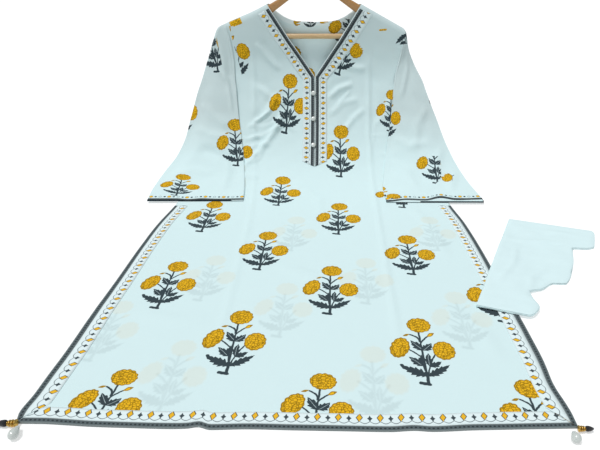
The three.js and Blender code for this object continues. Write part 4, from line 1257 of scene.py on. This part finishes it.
# %% Side slits
SIDE_SLIT_TOP = 523


def tape_width(along):
    return smooth(along, [0, 25, 150, 300, 523], [TAPE, 6.6, 7.4, 6.8, 5.4])


def slit_strip(name, sign, part):
    along = np.concatenate([[0.0], np.linspace(18, SIDE_SLIT_TOP, 120)])[:, None]
    narrow = tape_width(along)
    low, high = (0 * along, narrow) if part == "tape" else (narrow, BORDER + narrow - TAPE)
    inward = low + (high - low) * np.linspace(0, 1, 5)[None, :]
    if part == "tape":
        inward = np.concatenate([0 * along + WRAP_IN, inward], axis=1)
    corner = float(hem_along(np.array(sign * SIDE_HALF[0]))) + np.maximum(inward, 0) + GAP
    along = np.maximum(along + 0 * inward, corner) * (along > 0) + corner * (along <= 0)
    shown = inward * TAPE / narrow if part == "tape" else inward + TAPE - narrow
    return strip_mesh(name, sign * (side(along) - inward), along, along, shown, STRIP_LIFT, sign > 0)


bands, tapes = {"hem": hem_band}, {"hem": hem_tape}
band_grids = {"hem": hem_band_grid}
for label, sign in (("left", -1), ("right", 1)):
    bands[label], band_grids[label] = slit_strip("slit_band_" + label + "_cloth", sign, "band")
    tapes[label], _ = slit_strip("slit_tape_" + label + "_cloth", sign, "tape")
    dress(bands[label], slit_paint, "border_cotton", "slit_band_" + label)
    dress(tapes[label], tape_finish, "charcoal_cotton", "slit_tape_" + label)

# %% [markdown]
# The neck's border turns a corner where the V meets the placket, with a mitre there, and runs on to a
# shallow point below the slit. Its tape is narrower, set a little in from the edge, so a fine white
# line shows beside it.

# %% Neck border
NECK_BORDER, NECK_TAPE, NECK_TAPE_INSET = 25.0, 6.2, 1.4
POINT_DROP, BORDER_START = 14.0, 7.0
V_WIDER = {-1: 0.06, 1: 0.2}     # the border is this much wider along the V, as a share
NECK_LENGTH = math.hypot(NECK_HALF - SLIT_HALF, NECK_TOP - V_BOTTOM)
NECK_RISE, NECK_RUN = (NECK_TOP - V_BOTTOM) / NECK_LENGTH, (NECK_HALF - SLIT_HALF) / NECK_LENGTH


def neck_strip(name, sign, start, end, lift, columns):
    out = np.linspace(start, end, columns)[None, :]
    share = np.linspace(0, 1, 130)[:, None]
    low = SLIT_END - 4 + POINT_DROP * out / NECK_BORDER
    high = NECK_TOP - BORDER_START - out * 0.5
    along = low + (high - low) * share
    edge = SLIT_HALF + (NECK_HALF - SLIT_HALF) * (along - V_BOTTOM) / (NECK_TOP - V_BOTTOM)
    wider = 1 + V_WIDER[sign] * ease(along, V_BOTTOM - 10, V_BOTTOM + 30)
    across_v = edge + out * wider / NECK_RISE
    across = np.maximum(SLIT_HALF + out, across_v)
    up_v = V_BOTTOM + (across - SLIT_HALF) * NECK_RUN + (along - V_BOTTOM) * NECK_RISE - 7
    run = np.where(across_v > SLIT_HALF + out, up_v, along)
    run = run + (REPEAT * 10 / 2 if sign < 0 else 0)
    return strip_mesh(name, sign * across, along, run, out + 0 * run, lift, sign < 0)


# painted shade: the neck band's white is darker than the other bands', greyed like the chest it lies on
neck_paint = band_paint("neck band", 1.75, 0.34, 0.7, (0.69, 0.79, 0.80, 1))
neck_tape_finish = tape_paint("dark neck tape", 0.6, (0.03, 0.04, 0.046, 1), 0.0, (0.15, 0.18, 0.19, 1))
for label, sign in (("left", -1), ("right", 1)):
    bands["neck " + label], band_grids["neck " + label] = neck_strip(
        "neck_border_" + label + "_cloth", sign, 0, NECK_BORDER, STRIP_LIFT, 9)
    tape_end = NECK_TAPE_INSET + NECK_TAPE
    tapes["neck " + label], _ = neck_strip(
        "neck_tape_" + label + "_cloth", sign, NECK_TAPE_INSET, tape_end, 2 * STRIP_LIFT, 4)
    dress(bands["neck " + label], neck_paint, "border_cotton", "neck_border_" + label)
    dress(tapes["neck " + label], neck_tape_finish, "charcoal_cotton", "neck_tape_" + label)

# %% Cuff tapes
CUFF_TAPE = 4.0


def cuff_tape(name, sign):
    outer = SLEEVE_OUTER[sign][0]
    up = np.linspace(0, CUFF_TAPE, 4)[:, None]
    inner = float(sleeve_row(sign, np.array(float(CUFF_ALONG)))["inner"])
    across = np.linspace(inner + 0.6, outer - 1.2, 80)[None, :]
    high = CUFF_ALONG + up + smooth(across, *CUFF_SWAY[sign]) - 0.4
    lift = sleeve_top(sign, across, CUFF_ALONG + up + 0 * across) + 0.5
    points = place(sign * across + 0 * high, high, lift)
    flat = np.stack([across / 10 + 0 * high, up / 10 + 0 * across, 0 * high], axis=-1)
    return cloth_mesh(name, [(points, flat, sign < 0)], 0.5)


cuffs = {}
cuff_finish = tape_paint("cuff tape", 0.4, (0.028, 0.036, 0.042, 1))
for label, sign in (("left", -1), ("right", 1)):
    cuffs[label] = cuff_tape("cuff_tape_" + label + "_cloth", sign)
    dress(cuffs[label], cuff_finish, "charcoal_cotton", "cuff_tape_" + label)

# %% [markdown]
# ## Buttons and tassels
# Three small pearl buttons close the placket's left side, sewn through from behind. At each corner of
# the hem hangs a tassel: a few gilt beads, a black thread tip and a pearl drop. They are small, so they
# are turned profiles, smoothed, with their own sheen rather than fine detail.

# %% Turning a profile
def turned_piece(name, profile, at, axis, sides=32):
    """profile rows: (radius, height) in mm. axis is where its height points."""
    along = np.array(axis, float)
    along = along / np.linalg.norm(along)
    aside = np.cross(along, (0.0, 0.0, 1.0) if abs(along[2]) < 0.9 else (1.0, 0.0, 0.0))
    aside = aside / np.linalg.norm(aside)
    third = np.cross(along, aside)
    angle = np.arange(sides) * 2 * math.pi / sides
    ring = np.cos(angle)[:, None] * aside + np.sin(angle)[:, None] * third
    points = [np.array(at) + along * profile[0][1] * MM]
    for radius, height in profile[1:-1]:
        points.extend(np.array(at) + (along * height + ring * radius) * MM)
    points.append(np.array(at) + along * profile[-1][1] * MM)
    faces = [(0, 1 + (k + 1) % sides, 1 + k) for k in range(sides)]
    for i in range(len(profile) - 3):
        start = 1 + i * sides
        for k in range(sides):
            n = (k + 1) % sides
            faces.append((start + k, start + n, start + sides + n, start + sides + k))
    last, start = len(points) - 1, 1 + (len(profile) - 3) * sides
    faces += [(last, start + k, start + (k + 1) % sides) for k in range(sides)]
    mesh = bpy.data.meshes.new(name)
    mesh.from_pydata([tuple(p) for p in points], [], faces)
    mesh.shade_smooth()
    return add(name, mesh)


def ball(radius, low, high, steps=12):
    """The profile of a ball squeezed between two heights."""
    middle, half = (low + high) / 2, (high - low) / 2
    angle = np.linspace(-math.pi / 2, math.pi / 2, steps)
    return [(max(radius * math.cos(a), 0), middle + half * math.sin(a)) for a in angle]


# %% Pearl and gilt
def pearl_paint():
    finish = Finish("pearl", (0.60, 0.65, 0.63, 1), 0.22)
    finish.set(Specular_IOR_Level=0.6, Coat_Weight=0.6, Coat_Roughness=0.08)
    finish.lay((0.50, 0.50, 0.47, 1), finish.texture("Noise", Scale=260), 0.35)
    return finish.done()


def gilt_paint():
    finish = Finish("gilt", (0.62, 0.40, 0.10, 1), 0.3)
    finish.set(Metallic=0.9)
    wear = finish.texture("Noise", Scale=900, Detail=3)
    finish.lay((0.30, 0.17, 0.04, 1), wear, 0.5)
    finish.bump(wear, 0.0002, 0.5)
    return finish.done()


def thread_paint():
    finish = Finish("black thread", (0.012, 0.012, 0.014, 1), 0.75, 0.3)
    twist = finish.texture("Wave", Scale=420, Distortion=2)
    finish.lay((0.045, 0.042, 0.045, 1), twist, 0.7)
    finish.bump(twist, 0.0003, 0.6)
    return finish.done()


pearl, gilt, black_thread = pearl_paint(), gilt_paint(), thread_paint()

# %% Buttons
BUTTON_RADIUS, BUTTON_HEIGHT = 5.2, 4.4
for number, along in enumerate((818.0, 763.0, 704.0), 1):
    across = -(SLIT_HALF + NECK_TAPE_INSET + NECK_TAPE / 2 - 2)
    seat_lift = float(front_lift(np.array(across), np.array(along))) + 2 * STRIP_LIFT - 0.2
    seat = place(across, along, seat_lift)
    outward = place(across, along, seat_lift + 10) - seat
    profile = ball(BUTTON_RADIUS, -0.2, BUTTON_HEIGHT, 14)
    button = turned_piece("pearl_button_%d" % number, profile, seat, outward)
    dress(button, pearl, "pearl", "button_%d" % number)

# %% Tassels
BEADS_RADIUS, DROP_RADIUS, TIP_START = 4.4, 5.2, 11.2
BEADS = ((0, 3.9, 4.3), (3.5, 7.2, 4.0), (6.8, 9.6, 3.7), (9.3, 11.0, 2.8))    # low, high, radius
TIP_PROFILE = [(0, 0), (2.7, 0.05), (3.5, 1.2), (3.6, 3.0), (3.2, 6.0), (2.2, 9.2), (1.0, 11.5), (0, 12)]
DROP_PROFILE = [
    (0, 0), (1.3, 0.15), (2.2, 1.0), (3.0, 3.0), (4.1, 5.6), (5.0, 8.2), (5.2, 10.2), (4.7, 12.8),
    (3.4, 14.8), (1.8, 15.7), (0, 16)]
# side, start, along, the pearl's start, how long the beads and tip are
TASSELS = {"left": (-1, 287.9, 3.5, -2.5, 1.0), "right": (1, 288.0, -3.5, -6.6, 0.72)}
for label, (sign, start, low_along, drop_start, length) in TASSELS.items():
    seat = place(sign * start, low_along, BEADS_RADIUS + 0.1)
    way = (float(sign), 0.0, 0.0)
    slim = 0.3 + 0.7 * length
    beads = []
    for low, high, radius in BEADS:
        profile = ball(radius * slim, low * length, high * length)
        beads.append(turned_piece("bead", profile, seat, way, 24))
    base = beads[0]
    with bpy.context.temp_override(active_object=base, selected_editable_objects=beads):
        bpy.ops.object.join()
    base.name = "tassel_beads_" + label + "_gilt"
    dress(base, gilt, "gilt", "tassel_beads_" + label)
    tip_seat = seat + np.array(way) * TIP_START * length * MM
    tip_profile = [(radius * slim, high * length) for radius, high in TIP_PROFILE]
    tip = turned_piece("tassel_tip_" + label + "_thread", tip_profile, tip_seat, way, 24)
    dress(tip, black_thread, "black_thread", "tassel_tip_" + label)
    drop_seat = place(sign * (start + drop_start), low_along - BEADS_RADIUS - GAP, DROP_RADIUS + 0.1)
    drop_profile = [(radius, high * (0.25 + 0.75 * length)) for radius, high in DROP_PROFILE]
    drop = turned_piece("tassel_drop_" + label + "_pearl", drop_profile, drop_seat, (0.0, -1.0, 0.0))
    dress(drop, pearl, "pearl", "tassel_drop_" + label)

# %% [markdown]
# ## Hanger
# The hanger is a plain turned and shaped one: two flat arms in one piece, a dowel between them for
# trousers and a steel hook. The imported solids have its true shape, so they stay and get a wood finish
# with rings stretched into long grain, and steel with fine drawn lines.

# %% Wood and steel
def wood_paint(name, pale, dark):
    finish = Finish(name, pale, 0.38)
    finish.set(Specular_IOR_Level=0.5, Coat_Weight=0.35, Coat_Roughness=0.2)
    grain = finish.texture("Noise", (6, 90, 90), Scale=3, Detail=6, Distortion=0.6)
    ring = (Ink(finish.tree, grain) * 9.0).math("FRACT")
    finish.lay(dark, (ring * ring).socket, 0.55)
    finish.bump(ring.socket, 0.0002, 0.25)
    return finish.done()


def steel_paint():
    finish = Finish("steel", (0.62, 0.62, 0.64, 1), 0.22)
    finish.set(Metallic=1.0)
    drawn = finish.texture("Noise", Scale=700, Detail=4)
    finish.lay((0.42, 0.42, 0.44, 1), drawn, 0.4)
    finish.bump(drawn, 0.0001, 0.2)
    return finish.done()


def repaint(node, material):
    piece = bpy.data.objects[node]
    for slot in piece.material_slots:
        slot.material = material


repaint("hanger_arms", wood_paint("varnished beech", (0.46, 0.235, 0.075, 1), (0.25, 0.105, 0.028, 1)))
repaint("hanger_dowel", wood_paint("pale dowel", (0.62, 0.43, 0.22, 1), (0.42, 0.24, 0.10, 1)))
repaint("hanger_hook", steel_paint())
print("hanger painted")

# %% [markdown]
# ## The folded bottoms
# The sharara bottoms lie folded flat, many layers of white cotton in one soft bundle, with its left
# end on the skirt's edge. The layers inside are never seen, so the bundle is one closed form: a
# creased top, a rim that bulges once for each folded layer, and a flat underside. A last flap lies on
# top with edges that wander in from the rim.

# %% The bundle's sizes
BUNDLE_ACROSS, BUNDLE_ALONG, BUNDLE_TURN, BUNDLE_SKEW = 232.7, 205.5, math.radians(24.6), 0.09
BUNDLE_AT = [0, 2, 9, 24, 43, 60, 75, 98, 103, 129, 165, 216, 223, 233, 280, 289]
BUNDLE_WIDTH = [69, 71.5, 75.5, 78.5, 69, 62.5, 77, 90, 107.5, 112.7, 113.6, 110.5, 132, 141.5, 140.5, 136]
BUNDLE_LENGTH = 289
SKIRT_TOP, FLOOR_GAP = 3.9, 0.05     # the lift under the bundle, on the skirt and beside it
BUNDLE_CREASES = [
    ([(6.0, 1.6), (13.0, 3.0), (19.5, 2.6)], 5.0, 1.3),
    ([(20.5, 1.5), (22.0, 6.0), (23.0, 10.5)], 5.0, 1.5),
    ([(4.5, 6.2), (10.0, 6.0), (14.5, 8.2)], 6.0, 1.2),
    ([(23.5, 3.0), (26.0, 6.5), (26.5, 11.5)], 6.0, 1.2),
    ([(1.5, 2.5), (3.5, 4.5), (4.5, 7.0)], 5.0, 1.0),
]
print("bundle", BUNDLE_LENGTH, "mm long,", max(BUNDLE_WIDTH), "mm wide")


def bundle_place(length, out, up):
    length = length + BUNDLE_SKEW * out
    across = BUNDLE_ACROSS + length * math.sin(BUNDLE_TURN) + out * math.cos(BUNDLE_TURN)
    along = BUNDLE_ALONG + length * math.cos(BUNDLE_TURN) - out * math.sin(BUNDLE_TURN)
    off_skirt = ease(across - side(along), 14, 74)
    return place(across, along, SKIRT_TOP + (FLOOR_GAP - SKIRT_TOP) * off_skirt + up)


# %% The rim of a soft slab
def rim_of(rows, columns):
    """The border points of a grid, once round."""
    loop = [(0, k) for k in range(columns)] + [(i, columns - 1) for i in range(1, rows)]
    loop += [(rows - 1, k) for k in range(columns - 2, -1, -1)] + [(i, 0) for i in range(rows - 2, 0, -1)]
    return loop


def layered_rim(ring, low, layers, soft, seed):
    """Rings of points from the top's rim down to the base, bulging once for each folded layer."""
    way = np.roll(ring, -1, axis=0)[:, :2] - np.roll(ring, 1, axis=0)[:, :2]
    outward = np.stack([way[:, 1], -way[:, 0]], axis=-1) / np.linalg.norm(way, axis=1, keepdims=True)
    outward = outward * np.sign((outward * (ring[:, :2] - ring[:, :2].mean(axis=0))).sum())
    wander = np.random.default_rng(seed + 1).uniform(0.4, 1.0, layers)
    steps, points = layers * RINGS_A_LAYER, []
    for j in range(1, steps):
        share = j / steps
        layer = min(int(share * layers), layers - 1)
        bulge = abs(math.sin(share * layers * math.pi)) ** 0.6 * soft * wander[layer]
        sway = 0.5 * np.sin(ring[:, 0] / 13.0 + j * 0.35) + 0.4 * np.sin(ring[:, 1] / 9.0 - j * 0.5)
        level = ring[:, 2] + (low - ring[:, 2]) * share
        points.append(np.column_stack([ring[:, :2] + outward * (bulge + sway * 0.5)[:, None], level]))
    return points


def slab_faces(rows, columns, loop, steps):
    """Faces of the top, the base and the rim's rings between them."""
    count, around = rows * columns, len(loop)
    top_ids = np.arange(count).reshape(rows, columns)
    base_ids = count + (steps - 1) * around + top_ids
    rings = [[int(top_ids[p]) for p in loop]]
    rings += [list(range(count + j * around, count + (j + 1) * around)) for j in range(steps - 1)]
    rings.append([int(base_ids[p]) for p in loop])
    faces = []
    for i in range(rows - 1):
        for k in range(columns - 1):
            faces.append((top_ids[i, k], top_ids[i, k + 1], top_ids[i + 1, k + 1], top_ids[i + 1, k]))
            faces.append((base_ids[i, k], base_ids[i + 1, k], base_ids[i + 1, k + 1], base_ids[i, k + 1]))
    for upper, lower in zip(rings[:-1], rings[1:]):
        for k in range(around):
            n = (k + 1) % around
            faces.append((upper[n], upper[k], lower[k], lower[n]))
    return [tuple(int(v) for v in face)[::-1] for face in faces]


RINGS_A_LAYER = 4
print("rim of a 3 x 3 grid:", len(rim_of(3, 3)), "points")


# %% A soft slab with layered edges
def soft_slab(name, start, end, low, high, inset, layers, soft, creases, seed):
    length = np.linspace(start, end, 110)[:, None]
    t = np.linspace(0, 1, 50)[None, :]
    full = smooth(length, BUNDLE_AT, BUNDLE_WIDTH)
    near, far = inset(length), full - inset(length + 400)
    out = near + (far - near) * t
    length = length + 0 * t
    to_edge = np.minimum(np.minimum(out - near, far - out), np.minimum(length - start, end - length))
    round_off = np.sqrt(1 - (1 - np.clip(to_edge / 5, 0, 1)) ** 2)
    shape = creased(length, out, creases) + waves(length, out, seed, 12, 22, 80, 0.45)
    top = high - soft * (1 - round_off) + np.clip(shape, -0.9, 2.2) * ease(to_edge, 0, 9)
    loop = rim_of(*length.shape)
    ring = np.array([[length[p], out[p], top[p]] for p in loop])
    own = np.concatenate([
        np.stack([length, out, top], axis=-1).reshape(-1, 3),
        *layered_rim(ring, low, layers, soft, seed),
        np.stack([length, out, low + 0 * out], axis=-1).reshape(-1, 3)])
    faces = slab_faces(*length.shape, loop, layers * RINGS_A_LAYER)
    mesh = bpy.data.meshes.new(name)
    mesh.from_pydata(bundle_place(own[:, 0], own[:, 1], own[:, 2]).tolist(), [], faces)
    keep_on(mesh, "flat", "POINT", np.column_stack([own[:, :2] / 10, 0 * own[:, 2]]))
    mesh.shade_smooth()
    print(name, "faces:", len(faces), "area", round(float(full.mean() * (end - start)) / 1e6, 4))
    return add(name, mesh)


def flap_inset(length):
    return 0.7 + 0.4 * np.sin(length / 31.0) + 0.2 * np.sin(length / 12.0)


plain_cotton = cotton("plain cotton", white=(0.70, 0.86, 0.88, 1), ghosts=False, printed=False)
bundle = soft_slab("bottoms_bundle", 0, BUNDLE_LENGTH, 0.05, 3.0, np.zeros_like, 2, 0.35, BUNDLE_CREASES, 41)
flap = soft_slab("bottoms_flap", 0.6, 288.5, 3.05, 4.4, flap_inset, 1, 0.9, BUNDLE_CREASES, 43)
dress(bundle, plain_cotton, "cotton", "bottoms_folded")
dress(flap, plain_cotton, "cotton", "bottoms_top_fold")

# %% [markdown]
# ## The bands' sizes
# Each band's length is worked out from its flat area and its shown width, and printed with it. The
# tapes are narrow trims that go with the band beside them.

# %% Sheets
for label in ("left", "right"):
    spread = flat_of(sleeves[label]) / 100
for label, band in bands.items():
    area = flat_area(band_grids[label])
    shown = NECK_BORDER if label.startswith("neck") else (HEM_BORDER if label == "hem" else BORDER) - TAPE
    width = shown * MM
    long = area / width
    long * 1.02
    print(label, "band", round(width, 4), "x", round(long, 4))

# %% Sizes, and the end
drawn_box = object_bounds()
for title, box in (("packed", cad_box), ("drawn", drawn_box)):
    print(title, [[round(float(c), 4) for c in p] for p in box])
